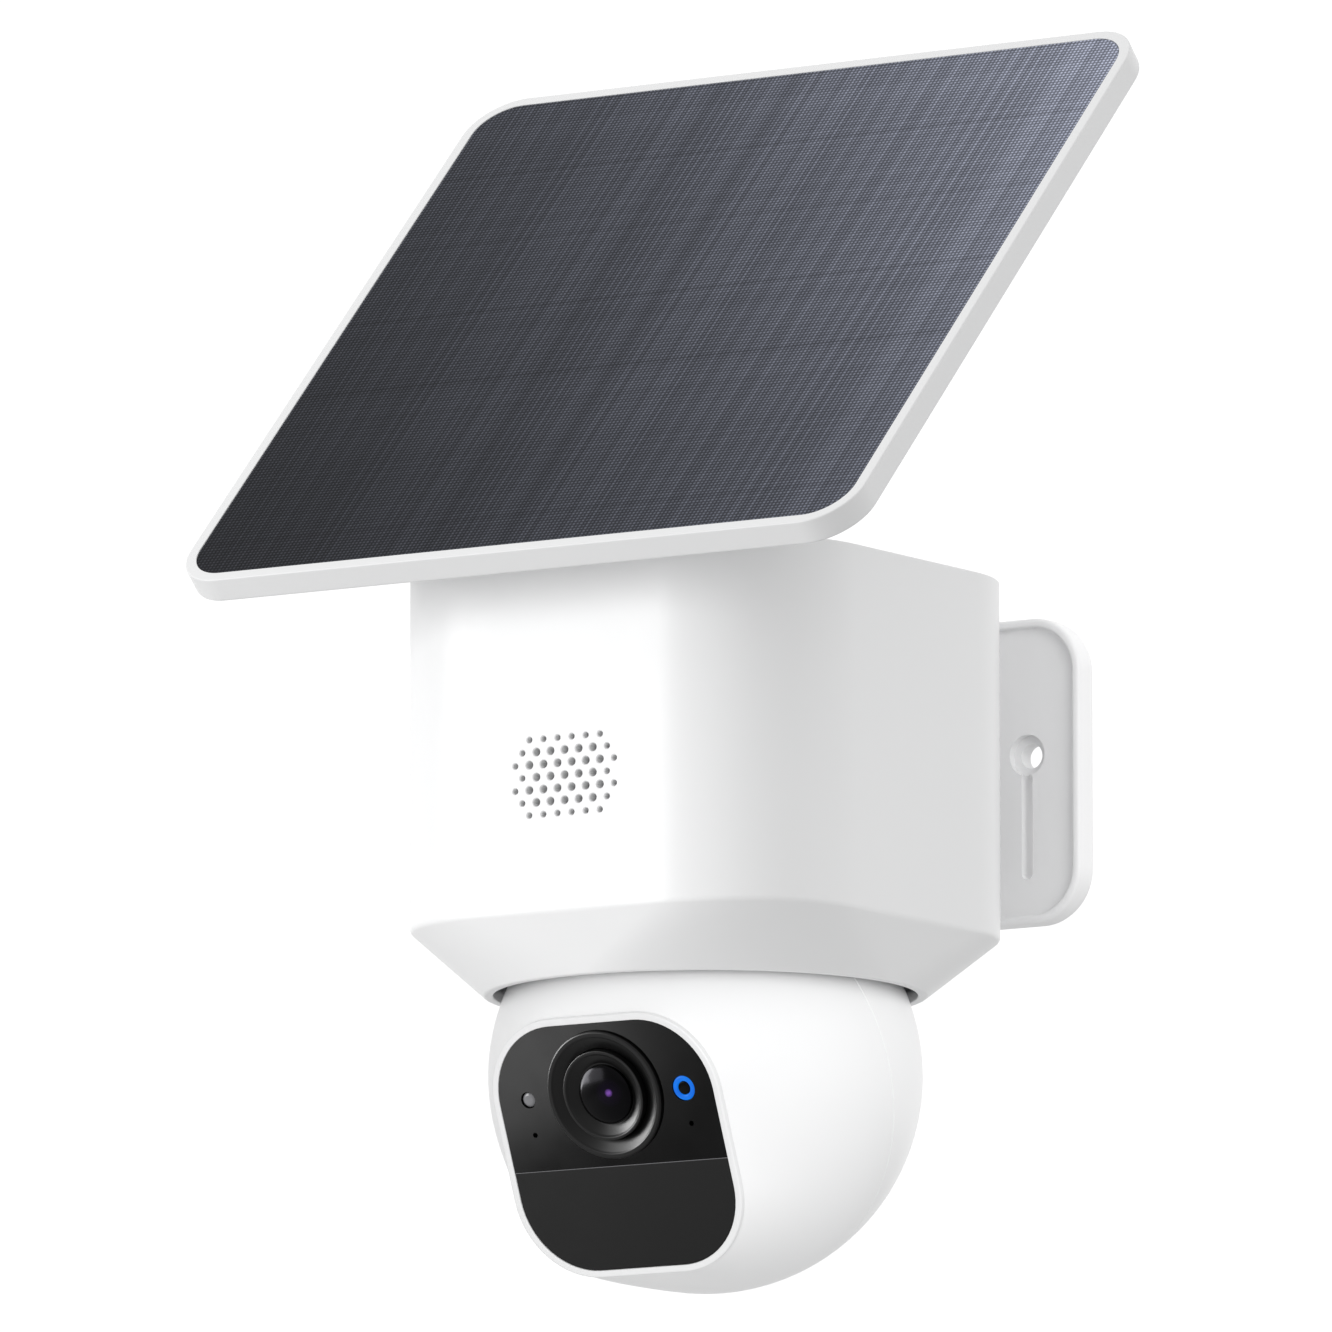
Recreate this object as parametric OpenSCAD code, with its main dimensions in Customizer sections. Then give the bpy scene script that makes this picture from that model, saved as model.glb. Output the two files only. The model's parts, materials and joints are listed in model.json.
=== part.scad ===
// Outdoor pan and tilt security camera with a tilting solar panel, on a wall bracket.
// The origin is the centre of the wall plate's back face: +Y points into the wall, +Z is up,
// and the camera looks towards -Y.
//
// Most parts are drawn about the pan axis, with Z = 0 at the collar rim; in_frame() carries
// that drawing frame to the origin. Head parts are drawn about the centre of the ball with the
// face towards -Y, and panel parts about the panel hinge with the glass facing +Z.

/* [Housing] */
// Width of the housing across its flat sides
body_w = 84; // [82:1:86]
// Depth of the housing from front to back
body_d = 85; // [85:0.1:86]
// Radius of the housing's upright corners
body_r = 23.5; // [22:0.5:24]
// Height of the housing above the collar rim
body_h = 70.75; // [70:0.25:78]
// Height of the chamfered skirt under the straight wall
skirt_h = 10.1; // [9:0.1:10.5]
// Wall thickness of the housing
wall = 2.4; // [2.2:0.1:2.8]
// Inner radius of the round collar that the ball turns in
collar_r = 35.5; // [35.2:0.1:36]
// Width of the flat rim around the collar
collar_rim = 1.5; // [1:0.1:2]
// Height of the centre of the speaker grille
grille_z = 32.6; // [32:0.1:34]

/* [Head] */
// Radius of the ball
head_r = 36.3; // [36:0.1:36.4]
// Depth of the ball's centre below the collar rim
head_drop = 13.4; // [13.2:0.1:14]
// Downward tilt of the face at rest, in degrees
head_tilt = 22; // [20:0.5:23]
// Wall thickness of the ball
head_wall = 2; // [1.6:0.1:2]

/* [Face] */
// Distance from the ball's centre to the face
face_reach = 30.4; // [30:0.1:30.8]
// Width and height of the black face
face_w = 42.3; // [41:0.1:42.6]
// Corner radius of the black face
face_r = 12.9; // [11:0.1:14]
// Height of the middle of the face above the ball's centre
face_z = -3.1; // [-3.4:0.1:-2.8]
// Width of the trim ring around the face
trim_w = 1.2; // [1:0.1:1.4]
// Height of the line that parts the face cover from the lower window
parting_z = -6.6; // [-7:0.1:-6.4]
// Height of the lens axis above the ball's centre
lens_z = 5.75; // [5.5:0.05:6]
// Outer radius of the lens bezel
bezel_r = 11; // [10.5:0.1:11.3]
// Distance from the middle of the face to the status light, and to the light sensor
sensor_x = 15.4; // [15:0.1:15.8]

/* [Solar panel] */
// Width of the panel across its white rim
panel_w = 134.2; // [126:0.2:136]
// Length of the panel along its slope
panel_l = 134; // [126:0.2:136]
// Thickness of the panel
panel_t = 4.6; // [4.4:0.1:5.5]
// Corner radius of the panel
panel_r = 9.4; // [8:0.1:12]
// Width of the white rim around the glass
panel_rim = 2; // [1.8:0.1:3]
// Slope of the panel at rest, in degrees from level
panel_tilt = 45.5; // [30:0.5:46]
// Height of the panel hinge above the collar rim
hinge_z = 101.3; // [101:0.1:106]
// Distance from the hinge to the face of the glass
panel_reach = 20; // [19.5:0.1:22]

/* [Wall bracket] */
// Width of the wall plate
plate_w = 75; // [72:1:84]
// Height of the wall plate
plate_h = 52.3; // [51:0.1:54]
// Thickness of the wall plate
plate_t = 6; // [5.6:0.1:7]
// Distance from the pan axis to the wall
wall_y = 64; // [63:0.5:67]
// Height of the middle of the wall plate above the collar rim
plate_z = 42.7; // [42.5:0.1:43.5]
// Distance between the two screw holes
screw_pitch = 52.4; // [50:0.1:56]
// Diameter of the screw holes
screw_d = 4.2; // [4:0.1:4.6]

/* [Hidden] */
$fn = 64;
eps = 0.01;

// Gears: module, and tooth numbers of the two drives
gear_m = 0.6;
pan_teeth = 60;
pan_pinion_teeth = 15;
tilt_teeth = 40;
tilt_pinion_teeth = 12;
pan_pinion_angle = 135;
tilt_pinion_angle = 150;

// Heights above the collar rim
shroud_in_r = 38.3;
shroud_out_r = 39.7;
flange_z = 13.4;
flange_t = 1.6;
gear_z = 27.9;
gear_t = 2.4;
chassis_z = 31;
chassis_t = 2.4;
bush_top = 35.5;
cell_z = 57;
boss_at = body_w / 2 - 11;
boss_r = 4;
lid_t = 2.6;
lid_inset = 1.6;
chassis_screw_y = 3;
ledge_x = body_w / 2 - 4.8;

// Speaker
speaker_r = 12.3;
speaker_back = -body_d / 2 + wall + 2.5;

// Neck and axle
neck_w = 14;
neck_d = 11;
spindle_r = 8;
axle_r = 3;

// Rear cover and its dock, measured from the middle of the cover
cover_z = 41;
cover_w = 62;
cover_h = 52;
cover_lip = 1.4;
rear_screw_x = 26.5;
rear_screw_z = 21.5;
hatch_w = 56;
hatch_h = 46;
hatch_r = 12;
port_x = -20.5;
port_z = 30;
button_z = 44;
tongue_z = 40;
tongue_h = 14;
tongue_w = 24;
tongue_neck = 14;
tongue_front = 36.3;
tongue_back = 39;
arm_w = 18;
arm_front = 43.2;
arm_low = 39.5;
arm_top = 56;
lock_y = 48;

// Wall plate
tray_lip = 1.5;
tray_depth = 1.5;
screw_z = 3;
bore_depth = 3;
slot_w = 2.2;
slot_low = -18.3;
slot_top = -0.1;

// Face parts
face_front = -face_reach;
trim_back = face_front + 1;
cover_back = face_front + 2;
shell_front_t = 3;
chin_z = face_z - face_w / 2;
brow_z = face_z + face_w / 2;
mic_x = 15.5;
mic_z = -0.3;
frame_post_x = 23.5;
lens_in_r = 7.8;
barrel_r = 7.7;
element_r = 5;

// Panel layers, measured from the hinge towards the glass
panel_back = panel_reach - panel_t;
tray_floor = panel_back + 2;
laminate_top = panel_reach - 0.9;
glass_w = panel_w - 2 * panel_rim;
glass_l = panel_l - 2 * panel_rim;
glass_r = panel_r - panel_rim;
panel_screw_xy = 16;

// Stem and hinge of the panel
stem_screw_r = 12.5;
ear_out = 11.5;
ear_in = 7.55;
bolt_r = 2.5;

// ---- Frames ----

module in_frame() {
    translate([0, -wall_y, -plate_z]) children();
}

module head_pose() {
    in_frame() translate([0, 0, -head_drop]) rotate([head_tilt, 0, 0]) children();
}

module panel_pose() {
    in_frame() translate([0, 0, hinge_z]) rotate([panel_tilt, 0, 0]) children();
}

// ---- Shapes that repeat ----

// Rectangle with round corners
module round_rect(w, h, r) {
    square([w - 2 * r, h], center = true);
    square([w, h - 2 * r], center = true);
    for (x = [-1, 1], y = [-1, 1])
        translate([x * (w / 2 - r), y * (h / 2 - r)]) circle(r);
}

// Flat ring between two round rectangles, w by h outside and wall t
module round_frame(w, h, r, t) {
    difference() {
        round_rect(w, h, r);
        round_rect(w - 2 * t, h - 2 * t, r - t);
    }
}

// Stands its children up: a drawing in X and Y is swept in Y from y0 to y1, its Y becoming Z
module stand(y0, y1, z = 0) {
    translate([0, y1, z]) rotate([90, 0, 0]) linear_extrude(y1 - y0) children();
}

// Straight round bar along Y
module bar_y(r, y0, y1) {
    translate([0, y1, 0]) rotate([90, 0, 0]) cylinder(r = r, h = y1 - y0);
}

// Straight round bar along X
module bar_x(r, x0, x1) {
    translate([x0, 0, 0]) rotate([0, 90, 0]) cylinder(r = r, h = x1 - x0);
}

// Block given by its low and high corners
module block(low, high) {
    translate(low) cube(high - low);
}

// Washer or tube along Z
module tube(r_out, r_in, h) {
    difference() {
        cylinder(r = r_out, h = h);
        translate([0, 0, -1]) cylinder(r = r_in, h = h + 2);
    }
}

// Screw along -Z, its head standing on Z = 0
module screw(shank_r, shank_h, head_r, head_h) {
    difference() {
        union() {
            cylinder(r = head_r, h = head_h);
            translate([0, 0, -shank_h]) cylinder(r = shank_r, h = shank_h + eps);
        }
        translate([0, 0, head_h * 0.4]) cylinder(r = head_r * 0.5, h = head_h, $fn = 6);
    }
}

// Involute of an angle, in degrees
function inv(a) = tan(a) * 180 / PI - a;

// Half of a tooth's angle at radius r
function tooth_half(teeth, r, base_r) =
    83 / teeth + inv(20) - (r > base_r ? inv(acos(base_r / r)) : 0);

// Outline of a spur gear with a tooth centred on +X
function gear_outline(teeth) =
    let (
        pitch_r = teeth * gear_m / 2,
        base_r = pitch_r * cos(20),
        radii = [for (k = [-1.2, -0.4, 0.1, 0.5, 0.9]) pitch_r + k * gear_m],
        rise = [for (r = radii) [r, -tooth_half(teeth, r, base_r)]],
        fall = [for (i = [len(radii) - 1:-1:0]) [radii[i], -rise[i][1]]]
    )
    [
        for (n = [0:teeth - 1], p = concat(rise, fall))
            let (a = n * 360 / teeth + p[1]) p[0] * [cos(a), sin(a)]
    ];

// Spur gear along Z with a round bore
module spur_gear(teeth, h, bore_r) {
    difference() {
        linear_extrude(h) polygon(gear_outline(teeth));
        translate([0, 0, -1]) cylinder(r = bore_r, h = h + 2);
    }
}

// ---- Wall bracket ----

module wall_bracket() {
    in_frame() color("white") {
        difference() {
            union() {
                stand(wall_y - plate_t, wall_y, plate_z) round_rect(plate_w, plate_h, 9.5);
                block([-arm_w / 2, arm_front, arm_low], [arm_w / 2, wall_y - plate_t + 2, arm_top]);
            }
            // Shallow tray in the front, around the arm
            difference() {
                stand(wall_y - plate_t - 1, wall_y - plate_t + tray_depth, plate_z)
                    round_rect(plate_w - 2 * tray_lip, plate_h - 2 * tray_lip, 8);
                block([-arm_w / 2, arm_front - 3, arm_low], [arm_w / 2, wall_y, arm_top]);
            }
            for (side = [-1, 1])
                translate([side * screw_pitch / 2, 0, plate_z]) {
                    // Screw hole with its counterbore
                    translate([0, 0, screw_z]) {
                        bar_y(screw_d / 2, wall_y - 10, wall_y + 1);
                        bar_y(3.5, wall_y - 10, wall_y - bore_depth);
                    }
                    // Strap slot under the screw hole
                    stand(wall_y - 10, wall_y + 1, (slot_low + slot_top) / 2)
                        round_rect(slot_w, slot_top - slot_low, slot_w / 2 - eps);
                }
            // Hole for the lock screw
            translate([0, lock_y, 48]) cylinder(r = 1.55, h = 10);
        }
        // Tongue that the housing hangs on
        block([-tongue_neck / 2, tongue_back, tongue_z],
              [tongue_neck / 2, arm_front + eps, tongue_z + tongue_h]);
        block([-tongue_w / 2, tongue_front, tongue_z], [tongue_w / 2, tongue_back, tongue_z + tongue_h]);
    }
}

module lock_screw() {
    in_frame() color("silver") translate([0, lock_y, 61.3]) screw(1.5, 12.5, 3, 2.4);
}

// ---- Housing ----

// Straight part and skirt of the housing, shrunk by inset
module housing_form(inset, rim_r, top_z) {
    translate([0, 0, skirt_h + inset / 2]) linear_extrude(top_z - skirt_h - inset / 2)
        round_rect(body_w - 2 * inset, body_d - 2 * inset, body_r - inset);
    hull() {
        translate([0, 0, skirt_h + inset / 2]) linear_extrude(eps)
            round_rect(body_w - 2 * inset, body_d - 2 * inset, body_r - inset);
        cylinder(r = rim_r, h = eps);
    }
}

// Places of the four upright corner posts
module corner_at() {
    for (x = [-1, 1], y = [-1, 1])
        translate([x * boss_at, y * boss_at, 0]) children();
}

// Places of the screws that hold the rear cover
module rear_screw_at() {
    for (x = [-1, 1], z = [-1, 1])
        translate([x * rear_screw_x, 0, cover_z + z * rear_screw_z]) children();
}

// Places of the screws that hold the shroud
module shroud_screw_at() {
    for (x = [-1, 1], y = [-1, 1])
        translate([x * (ledge_x - 1.4), y * 14, 0]) children();
}

// Places of the screws that hold the chassis
module chassis_screw_at() {
    for (x = [-1, 1])
        translate([x * (ledge_x - 0.4), chassis_screw_y, 0]) children();
}

// Rows of round holes, the outer ones smaller
module grille_holes() {
    counts = [6, 7, 8, 7, 8, 7, 6];
    for (row = [0:6], i = [0:counts[row] - 1]) {
        edge = row == 0 || row == 6 || i == 0 || i == counts[row] - 1;
        translate([(i - (counts[row] - 1) / 2) * 2.8, 0, grille_z + (3 - row) * 2.1])
            bar_y(edge ? 0.5 : 0.68, -body_d / 2 - 1, -body_d / 2 + wall + 1);
    }
}

module body_shell() {
    in_frame() color("white") difference() {
        union() {
            difference() {
                housing_form(0, collar_r + collar_rim, body_h);
                translate([0, 0, 2]) housing_form(wall, collar_r, body_h);
                // Seat for the top cover
                translate([0, 0, body_h - lid_t]) linear_extrude(lid_t + 1)
                    round_rect(body_w - 2 * lid_inset, body_d - 2 * lid_inset, body_r - lid_inset);
                // Rear hatch and the seat of its cover
                stand(body_d / 2 - 10, body_d / 2 + 1, cover_z) round_rect(hatch_w, hatch_h, hatch_r);
                stand(body_d / 2 - cover_lip, body_d / 2 + 1, cover_z)
                    round_rect(cover_w + 0.6, cover_h + 0.6, hatch_r + 3);
            }
            // Corner posts for the top cover and the shroud
            corner_at() translate([0, 0, skirt_h])
                cylinder(r = boss_r, h = body_h - lid_t - 1.2 - skirt_h);
            // Short posts under the shroud's flange, and ledges under the chassis
            shroud_screw_at() translate([0, 0, 5]) cylinder(r = 2.4, h = flange_z - 5.1);
            for (x = [-1, 1])
                block([x * ledge_x - 2.6, chassis_screw_y - 6, 18],
                      [x * ledge_x + 2.6, chassis_screw_y + 6, chassis_z - 0.1]);
            // Posts behind the corners of the rear hatch
            rear_screw_at() bar_y(2.6, 33.5, body_d / 2 - wall + 0.2);
            // Ring that holds the speaker
            translate([0, 0, grille_z]) difference() {
                bar_y(14, -body_d / 2 + wall - 0.2, -35.5);
                bar_y(speaker_r + 0.3, -body_d / 2 + wall - 0.3, -35);
            }
        }
        translate([0, 0, -1]) cylinder(r = collar_r, h = 4);
        corner_at() translate([0, 0, body_h - 14]) cylinder(r = 1.1, h = 14);
        shroud_screw_at() translate([0, 0, flange_z - 7]) cylinder(r = 1.05, h = 10);
        chassis_screw_at() translate([0, 0, chassis_z - 8]) cylinder(r = 1.05, h = 10);
        rear_screw_at() bar_y(1.1, 34.5, body_d / 2);
        grille_holes();
    }
}

module top_cover() {
    in_frame() color("white") difference() {
        translate([0, 0, body_h - lid_t]) linear_extrude(lid_t)
            round_rect(body_w - 2 * lid_inset - 0.3, body_d - 2 * lid_inset - 0.3, body_r - lid_inset);
        corner_at() translate([0, 0, body_h - lid_t - 1]) {
            cylinder(r = 1.4, h = 5);
            translate([0, 0, 2.2]) cylinder(r = 2.6, h = 5);
        }
        translate([0, 0, body_h - 5]) {
            cylinder(r = 3, h = 10);
            stem_screw_at() cylinder(r = 1.4, h = 10);
        }
    }
}

module top_gasket() {
    in_frame() color("dimgray") translate([0, 0, body_h - lid_t - 1]) linear_extrude(1)
        round_frame(body_w - 2 * wall - 0.4, body_d - 2 * wall - 0.4, body_r - wall - 0.2, 2);
}

module top_screws() {
    in_frame() color("silver") corner_at() translate([0, 0, body_h - 1.4]) screw(1, 8, 2.2, 1.2);
}

module rear_cover() {
    in_frame() color("white") difference() {
        union() {
            stand(body_d / 2 - cover_lip, body_d / 2, cover_z) round_rect(cover_w, cover_h, hatch_r + 2.7);
            stand(body_d / 2 - 3.5, body_d / 2 - cover_lip + eps, cover_z)
                round_rect(hatch_w - 4, hatch_h - 4, hatch_r - 2);
            // Dock around the bracket's tongue
            block([-14.3, 34.3, 23.8], [14.3, body_d / 2 - 3, 56.3]);
            // Lug for the lock screw
            block([-5, body_d / 2 - eps, 58], [5, 51.5, 61]);
        }
        // Keyhole: a wide way in at the bottom, a narrow slot above it and a wide pocket behind
        block([-tongue_w / 2 - 0.3, 35.9, tongue_z - tongue_h - 0.4],
              [tongue_w / 2 + 0.3, 39.6, tongue_z + tongue_h + 0.3]);
        block([-tongue_w / 2 - 0.3, 39, tongue_z - tongue_h - 0.4],
              [tongue_w / 2 + 0.3, 50, tongue_z - 0.2]);
        block([-tongue_neck / 2 - 0.3, 39, tongue_z - 1],
              [tongue_neck / 2 + 0.3, 50, tongue_z + tongue_h + 0.3]);
        translate([0, lock_y, 50]) cylinder(r = 1.65, h = 20);
        rear_screw_at() {
            bar_y(1.4, 38, body_d / 2 + 1);
            bar_y(2.4, body_d / 2 - 0.7, body_d / 2 + 1);
        }
        // Charging port with the seat of its flap, and the button hole
        translate([port_x, 0, port_z]) {
            stand(30, body_d / 2 + 1) round_rect(9.4, 3.8, 1.7);
            stand(body_d / 2 - 1, body_d / 2 + 1, 0.6) round_rect(13.6, 8.8, 2.3);
        }
        translate([port_x, 0, button_z]) bar_y(3.3, 30, body_d / 2 + 1);
    }
}

module rear_gasket() {
    in_frame() color("dimgray") stand(body_d / 2 - 3.3, body_d / 2 - cover_lip - 0.1, cover_z)
        round_frame(hatch_w - 0.4, hatch_h - 0.4, hatch_r - 0.2, 1.6);
}

module rear_screws() {
    in_frame() color("silver") rear_screw_at() translate([0, body_d / 2 - 0.7, 0])
        rotate([-90, 0, 0]) screw(1, 6.5, 2, 0.6);
}

module port_flap() {
    in_frame() color("gainsboro") translate([port_x, 0, port_z]) {
        stand(body_d / 2 - 0.7, body_d / 2 + 0.5, 0.6) round_rect(13, 8.2, 2);
        // Plug that fills the port's mouth
        stand(body_d / 2 - 2, body_d / 2 - 0.7 + eps) round_rect(8.2, 2.6, 1.2);
        // Rolled strap that it swings on
        translate([0, body_d / 2 + 0.5, 4.1]) bar_x(0.6, -4, 4);
    }
}

module sync_button() {
    in_frame() color("lightgray") translate([port_x, 0, button_z]) {
        bar_y(3, body_d / 2 - 3.9, body_d / 2 - 0.4);
        // Collar that keeps it in its hole
        bar_y(4, body_d / 2 - 4.6, body_d / 2 - 3.8);
    }
}

// ---- Electronics in the housing ----

module speaker() {
    in_frame() color("dimgray") translate([0, 0, grille_z]) {
        bar_y(speaker_r, speaker_back - 1.7, speaker_back);
        bar_y(9, speaker_back - 0.1, speaker_back + 3.1);
        bar_y(7, speaker_back + 3, speaker_back + 4.6);
    }
}

module speaker_mesh() {
    in_frame() color("black") translate([0, 0, grille_z])
        bar_y(speaker_r, speaker_back - 2.3, speaker_back - 1.8);
}

module battery_cells() {
    in_frame() color("steelblue") for (y = [-12, 8])
        translate([0, y, cell_z]) {
            bar_x(9.1, -32.5, 32.5);
            bar_x(3, 32.4, 33.3);
        }
}

module battery_holder() {
    in_frame() color("dimgray") difference() {
        block([-36, -22.5, cell_z - 10], [36, 18.5, cell_z + 2]);
        for (y = [-12, 8])
            translate([0, y, cell_z]) {
                bar_x(9.25, -34, 34);
                block([-34, -9.25, 0], [34, 9.25, 5]);
            }
        block([-30, -16, cell_z - 20], [30, 12, cell_z - 7.5]);
    }
}

module main_board() {
    in_frame() color("darkgreen") {
        block([-24, 27.6, 34.5], [24, 29.2, 66]);
        block([-16, 26.4, 50], [-4, 27.6 + eps, 62]);
        block([2, 26.6, 52], [9, 27.6 + eps, 59]);
        block([13, 25.6, 40], [21, 27.6 + eps, 44]);
        block([-9, 29.2 - eps, 58], [-3, 30.6, 64]);
        for (x = [3:4:19])
            block([x, 29.2 - eps, 60], [x + 2, 30.2, 61.2]);
    }
}

module port_board() {
    in_frame() color("darkgreen") {
        block([-25.6, 32.2, 22], [-15.2, 33.4, 50]);
        // Charging socket
        translate([port_x, 0, port_z]) difference() {
            stand(33.4 - eps, 40.3) round_rect(8.9, 3.2, 1.5);
            stand(34.4, 41) round_rect(8.2, 2.5, 1.2);
        }
        // Switch behind the button
        block([port_x - 3, 33.4 - eps, button_z - 3], [port_x + 3, 36.2, button_z + 3]);
    }
}

// ---- Pan drive ----

module pinion_at() {
    a = (pan_teeth + pan_pinion_teeth) * gear_m / 2;
    translate([a * cos(pan_pinion_angle), a * sin(pan_pinion_angle), 0]) children();
}

module pan_motor() {
    in_frame() pinion_at() color("silver") difference() {
        union() {
            translate([0, 0, chassis_z + chassis_t + 0.2]) cylinder(r = 10, h = 13);
            translate([0, 0, chassis_z + chassis_t - 1]) cylinder(r = 3.4, h = 1.3);
        }
        translate([0, 0, chassis_z]) cylinder(r = 1.55, h = 8.5);
    }
}

module pan_pinion() {
    in_frame() pinion_at() color("gold") {
        translate([0, 0, gear_z - 0.3])
            rotate([0, 0, pan_pinion_angle + 180 + 180 / pan_pinion_teeth])
                spur_gear(pan_pinion_teeth, gear_t + 0.6, 1);
        translate([0, 0, gear_z - 0.3]) cylinder(r = 1.5, h = 11.6);
    }
}

module pan_chassis() {
    in_frame() color("lightgray") difference() {
        union() {
            translate([0, 2, chassis_z]) linear_extrude(chassis_t) round_rect(62, 58, 14);
            for (x = [-1, 1])
                translate([x * (ledge_x - 3.2), chassis_screw_y, chassis_z]) linear_extrude(chassis_t)
                    round_rect(9.4, 24, 2);
        }
        translate([0, 0, chassis_z - 1]) cylinder(r = 11.6, h = 5);
        pinion_at() translate([0, 0, chassis_z - 1]) cylinder(r = 3.6, h = 5);
        corner_at() translate([0, 0, chassis_z - 1]) cylinder(r = boss_r + 0.4, h = 5);
        // Way for the wires
        translate([16, 14, chassis_z - 1]) cylinder(r = 4, h = 5);
        chassis_screw_at() translate([0, 0, chassis_z - 1]) cylinder(r = 1.2, h = 5);
    }
}

module pan_bush() {
    in_frame() color("peru") translate([0, 0, chassis_z - 0.3]) difference() {
        union() {
            cylinder(r = 11.5, h = bush_top - chassis_z + 0.3);
            translate([0, 0, chassis_t + 0.4]) cylinder(r = 12.2, h = bush_top - chassis_z - chassis_t - 0.1);
        }
        translate([0, 0, -1]) cylinder(r = spindle_r + 0.06, h = 10);
    }
}

// Domed roof over the ball that closes the housing below
module ball_shroud() {
    in_frame() color("gainsboro") difference() {
        union() {
            intersection() {
                translate([0, 0, -head_drop]) sphere(r = shroud_out_r, $fn = 96);
                translate([0, 0, 4]) cylinder(r = 50, h = 30);
            }
            translate([0, 0, flange_z]) linear_extrude(flange_t)
                round_rect(body_w - 2 * wall - 1, body_d - 2 * wall - 1, body_r - wall - 0.5);
        }
        translate([0, 0, -head_drop]) sphere(r = shroud_in_r, $fn = 96);
        cylinder(r = 10, h = 50);
        shroud_screw_at() cylinder(r = 1.3, h = 20);
        // Corners that clear the posts
        for (x = [-1, 1], y = [-1, 1])
            translate([x * (boss_at + 8), y * (boss_at + 8), flange_z - 1]) linear_extrude(5)
                round_rect(16 + 2 * boss_r + 0.8, 16 + 2 * boss_r + 0.8, boss_r + 0.4);
    }
}

module shroud_screws() {
    in_frame() color("silver") shroud_screw_at() translate([0, 0, flange_z + flange_t + 0.05])
        screw(1, 7, 2, 1.4);
}

module chassis_screws() {
    in_frame() color("silver") chassis_screw_at() translate([0, 0, chassis_z + chassis_t + 0.05])
        screw(1, 9, 1.9, 1.4);
}

module pan_gear() {
    in_frame() color("gold") translate([0, 0, gear_z]) rotate([0, 0, pan_pinion_angle])
        spur_gear(pan_teeth, gear_t, spindle_r + 0.02);
}

module neck() {
    in_frame() color("lightgray") difference() {
        union() {
            block([-neck_w / 2, -neck_d / 2, -head_drop], [neck_w / 2, neck_d / 2, gear_z - 1]);
            translate([0, 0, -head_drop]) bar_x(7.5, -neck_w / 2, neck_w / 2);
            translate([0, 0, 24]) cylinder(r = 9.3, h = gear_z - 24);
            translate([0, 0, gear_z - 1.2]) cylinder(r = 14, h = 1.2);
            translate([0, 0, gear_z - 1]) cylinder(r = spindle_r, h = 11.6);
        }
        translate([0, 0, -head_drop]) bar_x(5, -10, 10);
        // Wire way down the middle
        cylinder(r = 3.2, h = 60);
        block([-3.2, 0, -3], [3.2, 10, 3]);
        // Groove for the clip
        translate([0, 0, bush_top + 0.4]) tube(12, 7.2, 1.1);
    }
}

module pan_clip() {
    in_frame() color("silver") translate([0, 0, bush_top + 0.45]) difference() {
        tube(10.5, 7.25, 1);
        block([-3, 0, -1], [3, 20, 5]);
    }
}

// ---- Tilt drive ----

module tilt_bush() {
    in_frame() color("peru") translate([0, 0, -head_drop]) difference() {
        bar_x(4.98, -neck_w / 2, neck_w / 2 + 1.2);
        bar_x(axle_r + 0.06, -10, 10);
    }
}

module tilt_gear() {
    // Its teeth are set for the pinion's place with the head at rest
    in_frame() color("gold") translate([-neck_w / 2 - 3.1, 0, -head_drop])
        rotate([head_tilt, 0, 0]) rotate([90 - tilt_pinion_angle, 0, 0]) rotate([0, 90, 0])
            rotate([0, 0, 90]) spur_gear(tilt_teeth, 3.1, axle_r + 0.3);
}

// Carries its children to the tilt pinion's axis, seen in the head
module tilt_pinion_at() {
    a = (tilt_teeth + tilt_pinion_teeth) * gear_m / 2;
    translate([0, a * sin(tilt_pinion_angle), a * cos(tilt_pinion_angle)]) children();
}

module tilt_pinion() {
    head_pose() tilt_pinion_at() color("gold") {
        translate([-neck_w / 2 - 3.1, 0, 0]) rotate([90 - tilt_pinion_angle, 0, 0])
            rotate([0, 90, 0]) rotate([0, 0, -90 + 180 / tilt_pinion_teeth])
                spur_gear(tilt_pinion_teeth, 3.1, 0.9);
        bar_x(1, -19.5, -neck_w / 2);
    }
}

module tilt_motor() {
    head_pose() tilt_pinion_at() color("silver") difference() {
        union() {
            bar_x(6.8, -24, -15.2);
            bar_x(2.3, -15.3, -13.4);
        }
        bar_x(1.05, -20, -10);
    }
}

module tilt_axle() {
    head_pose() color("silver") bar_x(axle_r, -15.5, 12.9);
}

module head_frame() {
    head_pose() color("lightgray") difference() {
        union() {
            // Front plate that carries the boards
            block([-20, -15.4, -12], [20, -13.6, 19]);
            // Cheeks beside the neck
            for (x = [-15, 10.4]) {
                block([x, -14, -7], [x + 2, 0, 7]);
                bar_x(7, x, x + 2);
            }
            // Arm out to the motor
            hull() {
                bar_x(5, -15, -13);
                tilt_pinion_at() bar_x(4.5, -15, -13);
            }
            // Feet on the front shell
            for (x = [-1, 1])
                block([x * (frame_post_x - 0.5) - 4, -15.4, -4], [x * (frame_post_x - 0.5) + 4, -13.6, 4]);
        }
        bar_x(axle_r + 0.01, -20, 20);
        tilt_pinion_at() bar_x(2.5, -20, -10);
        for (x = [-1, 1])
            translate([x * frame_post_x, 0, 0]) bar_y(1.3, -20, -10);
        bar_y(4, -20, -10);
    }
}

// ---- Head shells ----

// Ball drawn out to the face, shrunk by inset
module head_form(inset, front_y) {
    hull() {
        sphere(r = head_r - inset);
        stand(front_y, front_y + 0.5, face_z)
            round_rect(face_w + 2 * trim_w - 2 * inset, face_w + 2 * trim_w - 2 * inset,
                       face_r + trim_w - inset);
    }
}

// Places of the screws that join the two halves of the ball
module head_screw_at() {
    for (x = [-1, 1])
        translate([x * 13.5, 0, -28.3]) children();
}

module card_door_zone(grow) {
    block([-9.4 - grow, -13.2 - grow, -40], [9.4 + grow, -6 + grow, -20]);
}

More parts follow.
